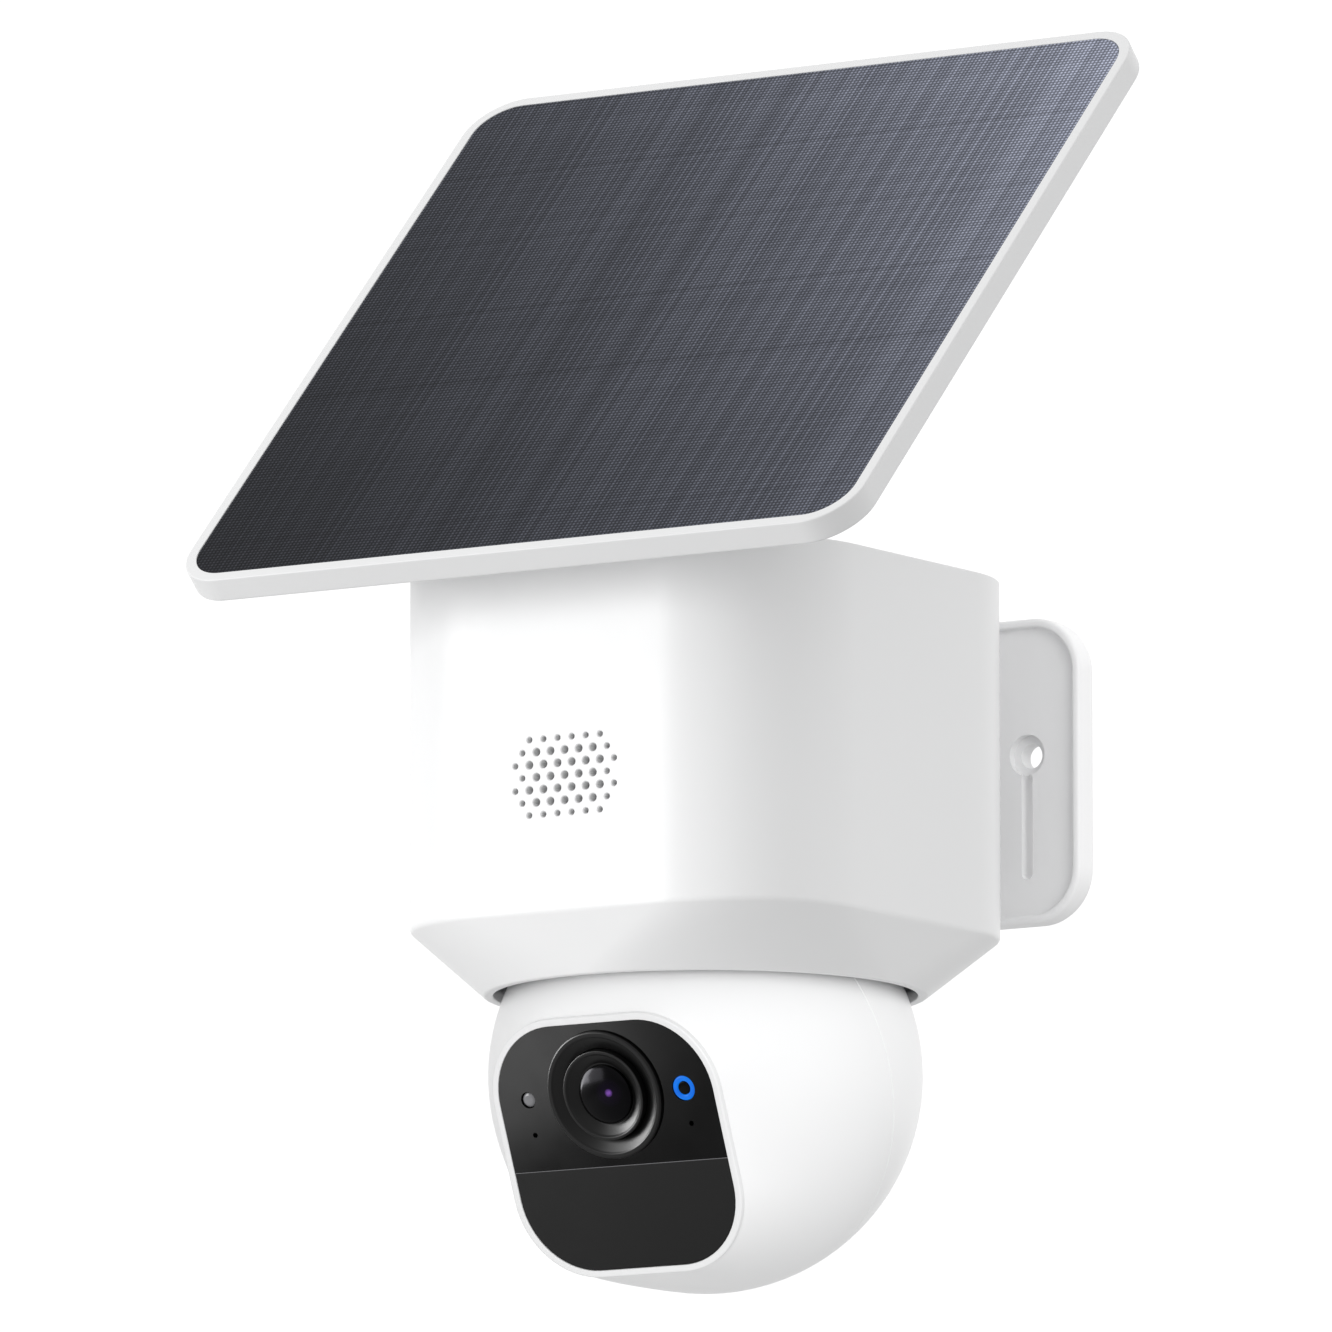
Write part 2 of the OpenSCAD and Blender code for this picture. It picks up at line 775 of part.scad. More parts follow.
module head_front_shell() {
    head_pose() color("white") difference() {
        union() {
            difference() {
                intersection() {
                    head_form(0, trim_back);
                    block([-50, trim_back, -50], [50, 0, 50]);
                }
                head_form(head_wall, face_front + shell_front_t);
            }
            // Posts for the inner frame
            for (x = [-1, 1])
                translate([x * frame_post_x, 0, 0]) bar_y(2.4, -24.5, -15.5);
            // Posts for the screws of the rear shell
            intersection() {
                head_screw_at() bar_y(3, -10, -2.7);
                sphere(r = head_r - 1);
            }
            // Rim around the card slot
            intersection() {
                block([-11, -15, -35], [11, -4.2, -29]);
                sphere(r = head_r - 1);
            }
        }
        // Seat and opening of the face
        stand(-40, cover_back, face_z) round_rect(face_w + 0.2, face_w + 0.2, face_r + 0.1);
        stand(-40, -20, face_z) round_rect(face_w - 4, face_w - 4, face_r - 2);
        card_door_zone(0.3);
        for (x = [-1, 1])
            translate([x * frame_post_x, 0, 0]) bar_y(0.9, -22, -10);
        head_screw_at() bar_y(1.05, -9, 0);
    }
}

module head_rear_shell() {
    head_pose() color("white") difference() {
        union() {
            difference() {
                intersection() {
                    sphere(r = head_r, $fn = 96);
                    block([-50, 0, -50], [50, 50, 50]);
                }
                sphere(r = head_r - head_wall, $fn = 96);
            }
            // Spigot that fits into the front shell
            difference() {
                union() {
                    bar_y(head_r - head_wall - 0.35, -2.5, 0.5);
                    bar_y(head_r - head_wall + 0.3, 0.3, 1.8);
                }
                bar_y(head_r - head_wall - 1.5, -3, 3);
            }
            // Posts for the shell screws
            intersection() {
                head_screw_at() bar_y(3, 0.05, 40);
                sphere(r = head_r - 1);
            }
        }
        // Slot that lets the neck through over the whole tilt
        rotate([90, 0, 90]) translate([0, 0, -8]) linear_extrude(16)
            polygon(concat([[0, 0]], [for (a = [-1.5:8:86.5]) 50 * [cos(a), sin(a)]]));
        head_screw_at() {
            bar_y(1.2, -5, 50);
            bar_y(2.1, 12, 50);
        }
    }
}

module head_screws() {
    head_pose() color("silver") head_screw_at() translate([0, 12.05, 0]) rotate([-90, 0, 0])
        screw(1, 20, 1.9, 1.6);
}

// ---- Face ----

// Outline of the face, cut to the strip between two heights
module face_strip(z0, z1, gap) {
    intersection() {
        translate([0, face_z]) round_rect(face_w - gap, face_w - gap, face_r - gap / 2);
        translate([-50, z0]) square([100, z1 - z0]);
    }
}

module face_trim() {
    head_pose() color("gainsboro") stand(face_front, trim_back, face_z)
        round_frame(face_w + 2 * trim_w, face_w + 2 * trim_w, face_r + trim_w, trim_w);
}

module face_cover() {
    head_pose() color("black") difference() {
        stand(face_front + 0.2, cover_back - 0.1) face_strip(parting_z + 0.05, brow_z, 0.1);
        translate([0, 0, lens_z]) bar_y(bezel_r - 0.35, -40, -20);
        translate([sensor_x, 0, lens_z]) bar_y(2.15, -40, -20);
        translate([-sensor_x, 0, lens_z]) bar_y(1.4, -40, -20);
        for (x = [-1, 1])
            translate([x * mic_x, 0, mic_z]) bar_y(0.45, -40, -20);
    }
}

module lower_window() {
    head_pose() color([0.13, 0.13, 0.14]) stand(face_front + 0.2, cover_back - 0.1)
        face_strip(chin_z, parting_z - 0.05, 0.1);
}

module lens_bezel() {
    head_pose() color([0.1, 0.1, 0.1]) translate([0, 0, lens_z]) rotate([90, 0, 0]) rotate_extrude($fn = 96)
        polygon([
            [lens_in_r, 25.5], [bezel_r - 0.4, 25.5], [bezel_r - 0.4, -face_front - 0.2],
            [bezel_r, -face_front - 0.2], [bezel_r, -face_front + 0.2],
            [bezel_r - 0.3, -face_front + 0.5], [bezel_r - 1, -face_front + 0.5],
            [lens_in_r, -face_front - 0.6]
        ]);
}

module lens_barrel() {
    head_pose() color([0.08, 0.08, 0.08]) translate([0, 0, lens_z]) rotate([90, 0, 0])
        rotate_extrude($fn = 96) polygon([
            [element_r + 0.05, 17.3], [barrel_r, 17.3], [barrel_r, -face_front + 0.7],
            [barrel_r - 0.6, -face_front + 0.7], [element_r + 0.3, -face_front - 0.5],
            [element_r + 0.05, -face_front - 0.5]
        ]);
}

module lens_glass() {
    head_pose() color([0.05, 0.05, 0.1]) translate([0, face_front, lens_z]) {
        bar_y(element_r, 0, 2.5);
        // Domed front element
        intersection() {
            translate([0, 11.2, 0]) sphere(r = 12.4, $fn = 96);
            bar_y(element_r, -3, eps);
        }
    }
}

module image_board() {
    head_pose() color("darkgreen") {
        block([-15, -17.2, -8], [15, -15.6, 18]);
        block([-5, -17.3, lens_z - 5], [5, -17.2 + eps, lens_z + 5]);
    }
}

module led_board() {
    head_pose() color("darkgreen") {
        block([-15, -24.6, -20], [15, -23.4, -9.5]);
        for (x = [-12, 12])
            block([x - 2, -26, -17.5], [x + 2, -24.6 + eps, -13.5]);
    }
}

module motion_sensor() {
    head_pose() color("silver") translate([0, 0, -15.5]) {
        bar_y(4.2, -27.6, -24.7);
        bar_y(4.7, -25.2, -24.65);
    }
}

module status_light() {
    head_pose() color([0.18, 0.55, 1]) translate([sensor_x, 0, lens_z]) difference() {
        bar_y(2.1, face_front + 0.25, -26.5);
        bar_y(1.1, -40, -28);
    }
}

module light_sensor() {
    head_pose() color("gray") translate([-sensor_x, 0, lens_z]) bar_y(1.3, face_front + 0.3, -26.5);
}

module microphones() {
    head_pose() color("silver") for (x = [-1, 1])
        translate([x * mic_x, 0, mic_z]) bar_y(2, cover_back, -26.6);
}

module card_reader() {
    head_pose() color("silver") {
        block([-7, -12.6, -30.8], [7, -6.6, -28.8]);
        block([-9, -14, -28.8 - eps], [9, -1, -27.6]);
    }
}

module card_door() {
    head_pose() color("gainsboro") {
        intersection() {
            difference() {
                sphere(r = head_r - 0.02, $fn = 96);
                sphere(r = head_r - 1.5, $fn = 96);
            }
            card_door_zone(0);
        }
    }
}

// ---- Solar panel and its stem ----

// Places of the screws under the stem's flange
module stem_screw_at() {
    for (a = [45:90:315])
        rotate([0, 0, a]) translate([stem_screw_r, 0, 0]) children();
}

// Places of the screws in the panel's back
module panel_screw_at() {
    for (x = [-1, 1], y = [-1, 1])
        translate([x * panel_screw_xy, y * panel_screw_xy, 0]) children();
}

module panel_stem() {
    in_frame() color("white") difference() {
        union() {
            translate([0, 0, body_h]) cylinder(r = 17, h = 3);
            translate([0, 0, body_h + 3 - eps]) cylinder(r1 = 12, r2 = 9.5, h = 15);
            intersection() {
                block([-ear_out, -7.5, body_h + 10], [ear_out, 7.5, hinge_z]);
                cylinder(r = 12.5, h = 200);
            }
            translate([0, 0, hinge_z]) bar_x(7.5, -ear_out, ear_out);
        }
        // Gap between the ears
        block([-ear_in, -20, hinge_z - 9.5], [ear_in, 20, hinge_z + 20]);
        translate([0, 0, hinge_z]) bar_x(bolt_r + 0.1, -20, 20);
        // Wire way
        translate([0, 0, body_h - 1]) {
            cylinder(r = 3, h = 60);
            stem_screw_at() cylinder(r = 1, h = 3.2);
        }
    }
}

module stem_screws() {
    in_frame() color("silver") stem_screw_at() translate([0, 0, body_h - lid_t])
        rotate([180, 0, 0]) screw(0.98, 4.4, 2, 1.2);
}

module hinge_bolt() {
    in_frame() color("silver") translate([0, 0, hinge_z]) difference() {
        union() {
            bar_x(bolt_r, -16.5, 12);
            bar_x(4.8, 11.6, 14.8);
        }
        translate([13.2, 0, 0]) rotate([0, 90, 0]) cylinder(r = 2, h = 5, $fn = 6);
    }
}

module hinge_nut() {
    in_frame() color("silver") translate([-15.2, 0, hinge_z]) rotate([0, 90, 0]) difference() {
        cylinder(r = 4.6, h = 3.6, $fn = 6);
        translate([0, 0, -1]) cylinder(r = bolt_r + 0.02, h = 8);
    }
}

module friction_washers() {
    in_frame() color("dimgray") for (x = [-7.5, 6.6])
        translate([x, 0, hinge_z]) rotate([0, 90, 0]) tube(6.5, bolt_r + 0.1, 0.9);
}

module panel_frame() {
    panel_pose() color("white") difference() {
        translate([0, 0, panel_back]) linear_extrude(panel_t) round_rect(panel_w, panel_l, panel_r);
        translate([0, 0, tray_floor]) linear_extrude(panel_t) round_rect(glass_w, glass_l, glass_r);
        translate([0, 0, panel_back - 1]) {
            cylinder(r = 3, h = 5);
            panel_screw_at() cylinder(r = 1, h = 2.6);
        }
    }
}

module solar_laminate() {
    panel_pose() color("midnightblue") translate([0, 0, tray_floor])
        linear_extrude(laminate_top - tray_floor)
            round_rect(glass_w - 0.6, glass_l - 0.6, glass_r - 0.3);
}

module panel_glass() {
    panel_pose() color([0.2, 0.23, 0.3]) translate([0, 0, laminate_top])
        linear_extrude(panel_reach - laminate_top)
            round_rect(glass_w - 0.1, glass_l - 0.1, glass_r - 0.05);
}

module panel_hinge() {
    panel_pose() color("white") difference() {
        union() {
            translate([0, 0, panel_back - 2.4]) linear_extrude(2.4) round_rect(42, 42, 7);
            bar_x(7.2, -6.2, 6.2);
            block([-6.2, -7.2, 0], [6.2, 7.2, panel_back - 2]);
            translate([0, 0, panel_back - 4.4]) linear_extrude(2.1) round_rect(12.4, 30, 2);
        }
        bar_x(bolt_r + 0.06, -10, 10);
        panel_screw_at() translate([0, 0, panel_back - 4]) cylinder(r = 1.3, h = 5);
    }
}

module panel_screws() {
    panel_pose() color("silver") panel_screw_at() translate([0, 0, panel_back - 2.4])
        rotate([180, 0, 0]) screw(0.98, 3.9, 2.2, 1.4);
}

// ---- Drawing ----

wall_bracket();
lock_screw();
body_shell();
top_cover();
top_gasket();
top_screws();
rear_cover();
rear_gasket();
rear_screws();
speaker();
speaker_mesh();
battery_cells();
battery_holder();
main_board();
port_board();
pan_motor();
pan_chassis();
pan_bush();
ball_shroud();
shroud_screws();
chassis_screws();
panel_stem();
stem_screws();
hinge_bolt();
hinge_nut();
friction_washers();
port_flap();
sync_button();
pan_pinion();
neck();
pan_gear();
pan_clip();
tilt_gear();
tilt_bush();
tilt_pinion();
head_front_shell();
head_rear_shell();
head_screws();
head_frame();
tilt_axle();
tilt_motor();
face_trim();
face_cover();
lower_window();
lens_bezel();
lens_barrel();
lens_glass();
image_board();
led_board();
motion_sensor();
status_light();
light_sensor();
microphones();
card_reader();
card_door();
panel_frame();
solar_laminate();
panel_glass();
panel_hinge();
panel_screws();
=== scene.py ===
"""Looks of an outdoor pan and tilt camera with a solar panel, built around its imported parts."""

import json
import math

import bmesh
import bpy
from mathutils import Matrix, Vector

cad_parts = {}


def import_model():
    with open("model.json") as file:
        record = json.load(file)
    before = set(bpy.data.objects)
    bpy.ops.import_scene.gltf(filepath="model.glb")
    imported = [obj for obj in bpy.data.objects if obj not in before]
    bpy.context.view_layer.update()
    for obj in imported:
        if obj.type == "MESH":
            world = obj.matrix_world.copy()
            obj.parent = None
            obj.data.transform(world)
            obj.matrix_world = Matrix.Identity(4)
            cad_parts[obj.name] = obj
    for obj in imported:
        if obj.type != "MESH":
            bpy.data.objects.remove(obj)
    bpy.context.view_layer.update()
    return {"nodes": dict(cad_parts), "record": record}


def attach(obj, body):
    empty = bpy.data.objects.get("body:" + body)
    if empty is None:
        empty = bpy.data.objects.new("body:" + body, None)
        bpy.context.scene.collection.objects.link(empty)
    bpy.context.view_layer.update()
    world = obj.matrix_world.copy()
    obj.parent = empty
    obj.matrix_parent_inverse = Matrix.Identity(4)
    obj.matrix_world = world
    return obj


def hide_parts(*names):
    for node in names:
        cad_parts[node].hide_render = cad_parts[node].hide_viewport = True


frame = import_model()
NODES = frame["nodes"]
BODY_OF = {
    node: body
    for body, nodes in frame["record"]["behaviour"]["bodies"].items()
    for node in nodes
}
SLOT_OF = {node: obj.data.materials[0].name for node, obj in NODES.items()}

# ---- Driving dimensions, in millimetres and degrees ----

MM = 0.001
WALL_Y = 64
PLATE_Z = 42.7

BODY_W = 84
BODY_D = 85
BODY_R = 23.5
BODY_H = 70.75
SKIRT_H = 10.1
WALL = 2.4
COLLAR_R = 35.5
COLLAR_RIM = 1.5
LID_INSET = 1.6
LID_T = 2.6
GRILLE_Z = 32.6
GRILLE_COUNTS = (6, 7, 8, 7, 8, 7, 6)
GRILLE_PITCH = (2.8, 2.1)
GRILLE_SMALL_R = 0.5
GRILLE_LARGE_R = 0.68
COVER_Z = 41
HATCH = (56, 46, 12)
HATCH_SEAT = (62.6, 52.6, 15)
SEAT_DEPTH = 1.4

HEAD_R = 36.3
HEAD_DROP = 13.4
HEAD_TILT = 22
HEAD_WALL = 2
FACE_FRONT = 30.4
FACE_W = 42.3
FACE_R = 12.9
FACE_Z = -3.1
TRIM_W = 1.2
TRIM_DEPTH = 1
SEAT_BACK = 2
COVER_RECESS = 0.2
PARTING_Z = -6.6
LENS_Z = 5.75
BEZEL_R = 11
BARREL_R = 7.7
BARREL_BACK = 17.3
BARREL_RISE = 0.7
FUNNEL_R = 7.8
BEZEL_BACK = 25.5
BEZEL_RISE = 0.5
ELEMENT_R = 5
DOME_R = 12.4
DOME_RISE = 1.2
# Where the painted violet glint sits on the lens glass, right of and above its middle, in millimetres.
PAINTED_GLINT_PLACE = (1.5, 0.5)
SENSOR_X = 15.4
STATUS_R = 2.1
STATUS_CORE_R = 1.2
SENSOR_R = 1.3
MIC_PLACE = (15.5, -0.3)
DOOR = (9.7, 5.7, 13.8)
SHELL_SCREW = (13.5, -28.3)
NECK_SLOT = 8

PANEL_W = 134.2
PANEL_L = 134
PANEL_T = 4.6
PANEL_R = 9.4
PANEL_RIM = 2
PANEL_TILT = 45.5
HINGE_Z = 101.3
PANEL_REACH = 20
FILM_PITCH = 0.74
FILM_TONE = 0.073
# How fast the film's painted sheen, a reflection painted into its colour, grows across and along the
# panel.
PAINTED_SHEEN_RISE_ACROSS = 0.95
PAINTED_SHEEN_RISE_ALONG = 0.6
CELL_PITCH = 20.15
CELL_START = -36.4

PLATE_W = 75
PLATE_H = 52.3
PLATE_T = 6
PLATE_R = 9.5
TRAY_DEPTH = 1.5
TRAY_LIP = 1.5
SCREW_X = 26.2
SCREW_Z = 3
SCREW_R = 2.1
COUNTERBORE_R = 3.5
BORE_DEPTH = 3
SLOT_W = 2.2
SLOT_SPAN = (-18.3, -0.1)
ARM = (18, 16.5, 2.5)
ARM_Z = 47.75
ARM_FRONT = -43.2
TONGUE = (14, 14, 1)
TONGUE_HEAD = (24, 14, 1)
TONGUE_Z = 47
TONGUE_SPAN = (-45, -39, -36.3)
LOCK_HOLE = (1.55, 12, 48, -48)

CAMERA_TURN = 33.36
CAMERA_RISE = -8.237
CAMERA_RANGE = 2.872
CAMERA_AIM = (-0.0079, -0.064, 0.0138)
CAMERA_LENS = 462.6
FLOOR_Z = -0.6
FLOOR_R = 5
LAMP_RANGE = 1.3
LAMP_SIZE = 0.7
KEY = (-0.64, -0.77, 0.05)
BALL_KEY = (0.46, -0.88, -0.12)
BRACKET_FILL = (0.87, -0.45, 0.2)
LENS_GLOW = (-0.9, -0.38, 0.06)

FRONT = Matrix.Rotation(math.radians(90), 4, "X")
BACK = Matrix.Rotation(math.radians(-90), 4, "X")
HOUSING = Matrix.Scale(MM, 4) @ Matrix.Translation((0, -WALL_Y, -PLATE_Z))
HEAD = (
    HOUSING
    @ Matrix.Translation((0, 0, -HEAD_DROP))
    @ Matrix.Rotation(math.radians(HEAD_TILT), 4, "X")
)
PANEL = (
    HOUSING
    @ Matrix.Translation((0, 0, HINGE_Z))
    @ Matrix.Rotation(math.radians(PANEL_TILT), 4, "X")
)

# ---- Shapes ----


def round_rect(w, h, r, arc=16, side=8):
    """Outline of a rectangle with round corners, with the same number of points for every size."""
    points = []
    for corner, (sx, sy) in enumerate([(1, 1), (-1, 1), (-1, -1), (1, -1)]):
        centre = Vector((sx * (w / 2 - r), sy * (h / 2 - r)))
        for i in range(arc + 1):
            angle = math.radians(90 * (corner + i / arc))
            points.append(centre + r * Vector((math.cos(angle), math.sin(angle))))
    outline = []
    for i, point in enumerate(points):
        outline.append(point)
        if i % (arc + 1) == arc:
            after = points[(i + 1) % len(points)]
            outline += [point.lerp(after, k / side) for k in range(1, side)]
    return outline


def circle(r, steps=96):
    """Outline of a circle."""
    angles = [math.tau * i / steps for i in range(steps)]
    return [Vector((r * math.cos(a), r * math.sin(a))) for a in angles]


def at_height(outline, z):
    """The outline as a ring of points at height z."""
    return [Vector((p.x, p.y, z)) for p in outline]


def eased(path, cuts, steps=5):
    """Rounds a path's corners: each cut is how far from its corner the curve starts."""
    out = []
    for i, (corner, cut) in enumerate(zip(path, cuts)):
        if cut == 0:
            out.append(corner)
            continue
        start = corner + (path[i - 1] - corner).normalized() * cut
        end = corner + (path[(i + 1) % len(path)] - corner).normalized() * cut
        for k in range(steps + 1):
            t = k / steps
            out.append(start * (1 - t) ** 2 + corner * 2 * t * (1 - t) + end * t**2)
    return out


def skin(rings, loop=False, caps=False):
    """Joins rings of points into a surface; loop joins the last ring to the first."""
    bm = bmesh.new()
    rows = [[bm.verts.new(p) for p in ring] for ring in rings]
    if loop:
        rows.append(rows[0])
    for low, high in zip(rows, rows[1:]):
        for i in range(len(low)):
            j = (i + 1) % len(low)
            bm.faces.new((low[i], low[j], high[j], high[i]))
    if caps:
        bm.faces.new(rows[0][::-1])
        bm.faces.new(rows[-1])
    bmesh.ops.remove_doubles(bm, verts=bm.verts[:], dist=1e-4)
    bmesh.ops.recalc_face_normals(bm, faces=bm.faces[:])
    return bm


def moulding(size, path, cuts, loop=False):
    """Carries a section, a path of (inset, height) points, round a rectangle with round corners."""
    w, h, r = size
    rings = []
    for inset, z in eased([Vector(p) for p in path], cuts):
        outline = round_rect(w - 2 * inset, h - 2 * inset, max(r - inset, 0.05))
        rings.append(at_height(outline, z))
    return skin(rings, loop=loop, caps=not loop)


def turning(path, cuts, loop=True, steps=96):
    """Turns a section, a path of (radius, height) points, about Z."""
    section = eased([Vector(p) for p in path], cuts)
    return skin([at_height(circle(r, steps), z) for r, z in section], loop=loop)


def prism(outline, low, high):
    """Straight solid over an outline."""
    return skin([at_height(outline, low), at_height(outline, high)], caps=True)


def rod(r, low, high, steps=32):
    """Straight round cutter along Z."""
    return prism(circle(r, steps), low, high)


def moved(bm, *places):
    """The same shape at each of these places, as one mesh."""
    mesh = bpy.data.meshes.new("pattern")
    bm.to_mesh(mesh)
    bm.free()
    out = bmesh.new()
    for place in places:
        copy = mesh.copy()
        copy.transform(place)
        out.from_mesh(copy)
        bpy.data.meshes.remove(copy)
    bpy.data.meshes.remove(mesh)
    return out


def joined(*shapes):
    """Several shapes as one mesh."""
    out = bmesh.new()
    for bm in shapes:
        mesh = bpy.data.meshes.new("part")
        bm.to_mesh(mesh)
        bm.free()
        out.from_mesh(mesh)
        bpy.data.meshes.remove(mesh)
    return out


def at(x=0, y=0, z=0, turn=None):
    """Place made of a shift after an optional turn."""
    shift = Matrix.Translation((x, y, z))
    return shift @ turn if turn else shift


# ---- Work on pieces ----


def as_object(name, bm):
    """A new object in the scene that holds the shape."""
    mesh = bpy.data.meshes.new(name)
    bm.to_mesh(mesh)
    bm.free()
    obj = bpy.data.objects.new(name, mesh)
    bpy.context.scene.collection.objects.link(obj)
    return obj


def bake(obj):
    """Makes what the modifiers show the object's own mesh."""
    bpy.context.view_layer.update()
    shown = obj.evaluated_get(bpy.context.evaluated_depsgraph_get())
    mesh = bpy.data.meshes.new_from_object(shown)
    obj.modifiers.clear()
    obj.data = mesh


def cut(obj, shape, overlapping=False):
    """Takes the shape out of the object."""
    cutter = as_object("cutter", shape)
    change = obj.modifiers.new("cut", "BOOLEAN")
    change.operation = "DIFFERENCE"
    change.solver = "EXACT"
    change.use_self = overlapping
    change.object = cutter
    bake(obj)
    bpy.data.objects.remove(cutter)


def ease_edges(obj, width, segments=3, angle=35):
    """Rounds every edge sharper than the angle."""
    change = obj.modifiers.new("edges", "BEVEL")
    change.width = width
    change.segments = segments
    change.limit_method = "ANGLE"
    change.angle_limit = math.radians(angle)
    bake(obj)


def settle(obj, place, body, slot, replaced=(), angle=30, weigh=True, material=None):
    """Puts a piece in its place on its body, with its material and its shading."""
    obj.data.transform(place)
    obj.data.materials.clear()
    obj.data.materials.append(MATERIALS[material or slot])
    obj.data.shade_smooth()
    obj.data.set_sharp_from_angle(angle=math.radians(angle))
    if weigh:
        normals = obj.modifiers.new("normals", "WEIGHTED_NORMAL")
        normals.keep_sharp = True
    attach(obj, body)
    if replaced:
        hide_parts(*replaced)
    return obj


def refine(node, width=0.25, segments=3, angle=40):
    """Stands for a CAD node, with its sharp edges eased."""
    bm = bmesh.new()
    bm.from_mesh(NODES[node].data)
    bmesh.ops.scale(bm, vec=(1 / MM,) * 3, verts=bm.verts[:])
    bmesh.ops.remove_doubles(bm, verts=bm.verts[:], dist=0.002)
    bmesh.ops.dissolve_limit(
        bm, angle_limit=math.radians(1), verts=bm.verts[:], edges=bm.edges[:]
    )
    obj = as_object(node + "_eased", bm)
    ease_edges(obj, width, segments, angle)
    settle(obj, Matrix.Scale(MM, 4), BODY_OF[node], SLOT_OF[node], [node])


# ---- Material tools ----


def rgba(colour, gain=1):
    return tuple(c * gain for c in colour) + (1,)


def add(tree, kind, inputs=None, **settings):
    """Adds a shader node, sets it and links it up."""
    item = tree.nodes.new(kind)
    for key, value in settings.items():
        setattr(item, key, value)
    for key, value in (inputs or {}).items():
        if isinstance(value, bpy.types.NodeSocket):
            tree.links.new(value, item.inputs[key])
        else:
            item.inputs[key].default_value = value
    return item


def new_material(name, sockets):
    """A material with a principled shader, its sockets set to values or linked."""
    made = bpy.data.materials.new(name)
    made.use_nodes = True
    shader = made.node_tree.nodes["Principled BSDF"]
    for key, value in sockets.items():
        shader.inputs[key].default_value = value
    return made, made.node_tree, shader


def mottle(tree, scale, detail=3, stretch=(1, 1, 1)):
    """Cloudy pattern fixed to the piece; scale is in cycles a metre."""
    place = add(tree, "ShaderNodeTexCoord").outputs["Object"]
    mapped = add(tree, "ShaderNodeMapping", {"Vector": place, "Scale": stretch})
    inputs = {"Vector": mapped.outputs["Vector"], "Scale": scale, "Detail": detail}
    return add(tree, "ShaderNodeTexNoise", inputs).outputs["Fac"]


def spread(tree, value, low, high, start=0.0, end=1.0):
    """Carries the range from start to end over to low to high."""
    inputs = {
        "Value": value,
        "From Min": start,
        "From Max": end,
        "To Min": low,
        "To Max": high,
    }
    return add(tree, "ShaderNodeMapRange", inputs).outputs["Result"]


def maths(tree, operation, a, b=0.0):
    """One sum on two values."""
    return add(
        tree, "ShaderNodeMath", {0: a, 1: b}, operation=operation
    ).outputs["Value"]


def blended(tree, share, first, second, kind="MIX"):
    """Mix of two colours."""
    inputs = {0: share, 6: first, 7: second}
    mix = add(tree, "ShaderNodeMix", inputs, data_type="RGBA", blend_type=kind)
    return mix.outputs[2]


def roughen(tree, shader, height, depth, strength=1.0):
    """Bump of that depth in millimetres."""
    inputs = {"Height": height, "Distance": depth * MM, "Strength": strength}
    bump = add(tree, "ShaderNodeBump", inputs)
    tree.links.new(bump.outputs["Normal"], shader.inputs["Normal"])


def plastic(name, colour, rough, vary=0.02, grain=1500, depth=0.002, **sockets):
    """Moulded plastic: faint patches in its colour and gloss, and a fine grain."""
    named = {key.replace("_", " "): value for key, value in sockets.items()}
    made, tree, shader = new_material(name, named)
    patches = mottle(tree, 30)
    tint = blended(tree, patches, rgba(colour, 1 - vary), rgba(colour))
    tree.links.new(tint, shader.inputs["Base Color"])
    gloss = spread(tree, mottle(tree, 160), rough - 0.04, rough + 0.04)
    tree.links.new(gloss, shader.inputs["Roughness"])
    roughen(tree, shader, mottle(tree, grain, 2), depth)
    return made


def metal(name, colour, rough, stretch=(1, 1, 12)):
    """Metal brushed across the stretch."""
    made, tree, shader = new_material(name, {"Metallic": 1.0})
    lines = mottle(tree, 500, 4, stretch)
    tint = blended(tree, lines, rgba(colour, 0.85), rgba(colour))
    tree.links.new(tint, shader.inputs["Base Color"])
    gloss = spread(tree, lines, rough - 0.08, rough + 0.1)
    tree.links.new(gloss, shader.inputs["Roughness"])
    roughen(tree, shader, lines, 0.002)
    return made


def circuit_board():
    """Green solder mask over copper tracks."""
    made, tree, shader = new_material("circuit_board", {"Coat Weight": 0.4})
    place = add(tree, "ShaderNodeTexCoord").outputs["Object"]
    inputs = {"Vector": place, "Scale": 420}
    tracks = add(tree, "ShaderNodeTexVoronoi", inputs, distance="MANHATTAN")
    line = spread(tree, tracks.outputs["Distance"], 1, 0, 0.35, 0.45)
    green = rgba((0.008, 0.1, 0.035))
    light_green = rgba((0.03, 0.22, 0.08))
    tint = blended(tree, line, green, light_green)
    tree.links.new(tint, shader.inputs["Base Color"])
    gloss = spread(tree, line, 0.45, 0.3)
    tree.links.new(gloss, shader.inputs["Roughness"])
    roughen(tree, shader, line, 0.02)
    return made


def fine_mesh():
    """Woven dark cloth behind the grille."""
    made, tree, shader = new_material("fine_mesh", {"Sheen Weight": 0.3})
    place = add(tree, "ShaderNodeTexCoord").outputs["Object"]
    weave = []
    for direction in ("X", "Z"):
        inputs = {"Vector": place, "Scale": 900}
        wave = add(tree, "ShaderNodeTexWave", inputs, bands_direction=direction)
        weave.append(wave.outputs["Fac"])
    threads = maths(tree, "MAXIMUM", *weave)
    tint = blended(tree, threads, rgba((0.004,) * 3), rgba((0.03,) * 3))
    tree.links.new(tint, shader.inputs["Base Color"])
    gloss = spread(tree, threads, 0.9, 0.6)
    tree.links.new(gloss, shader.inputs["Roughness"])
    roughen(tree, shader, threads, 0.05)
    return made


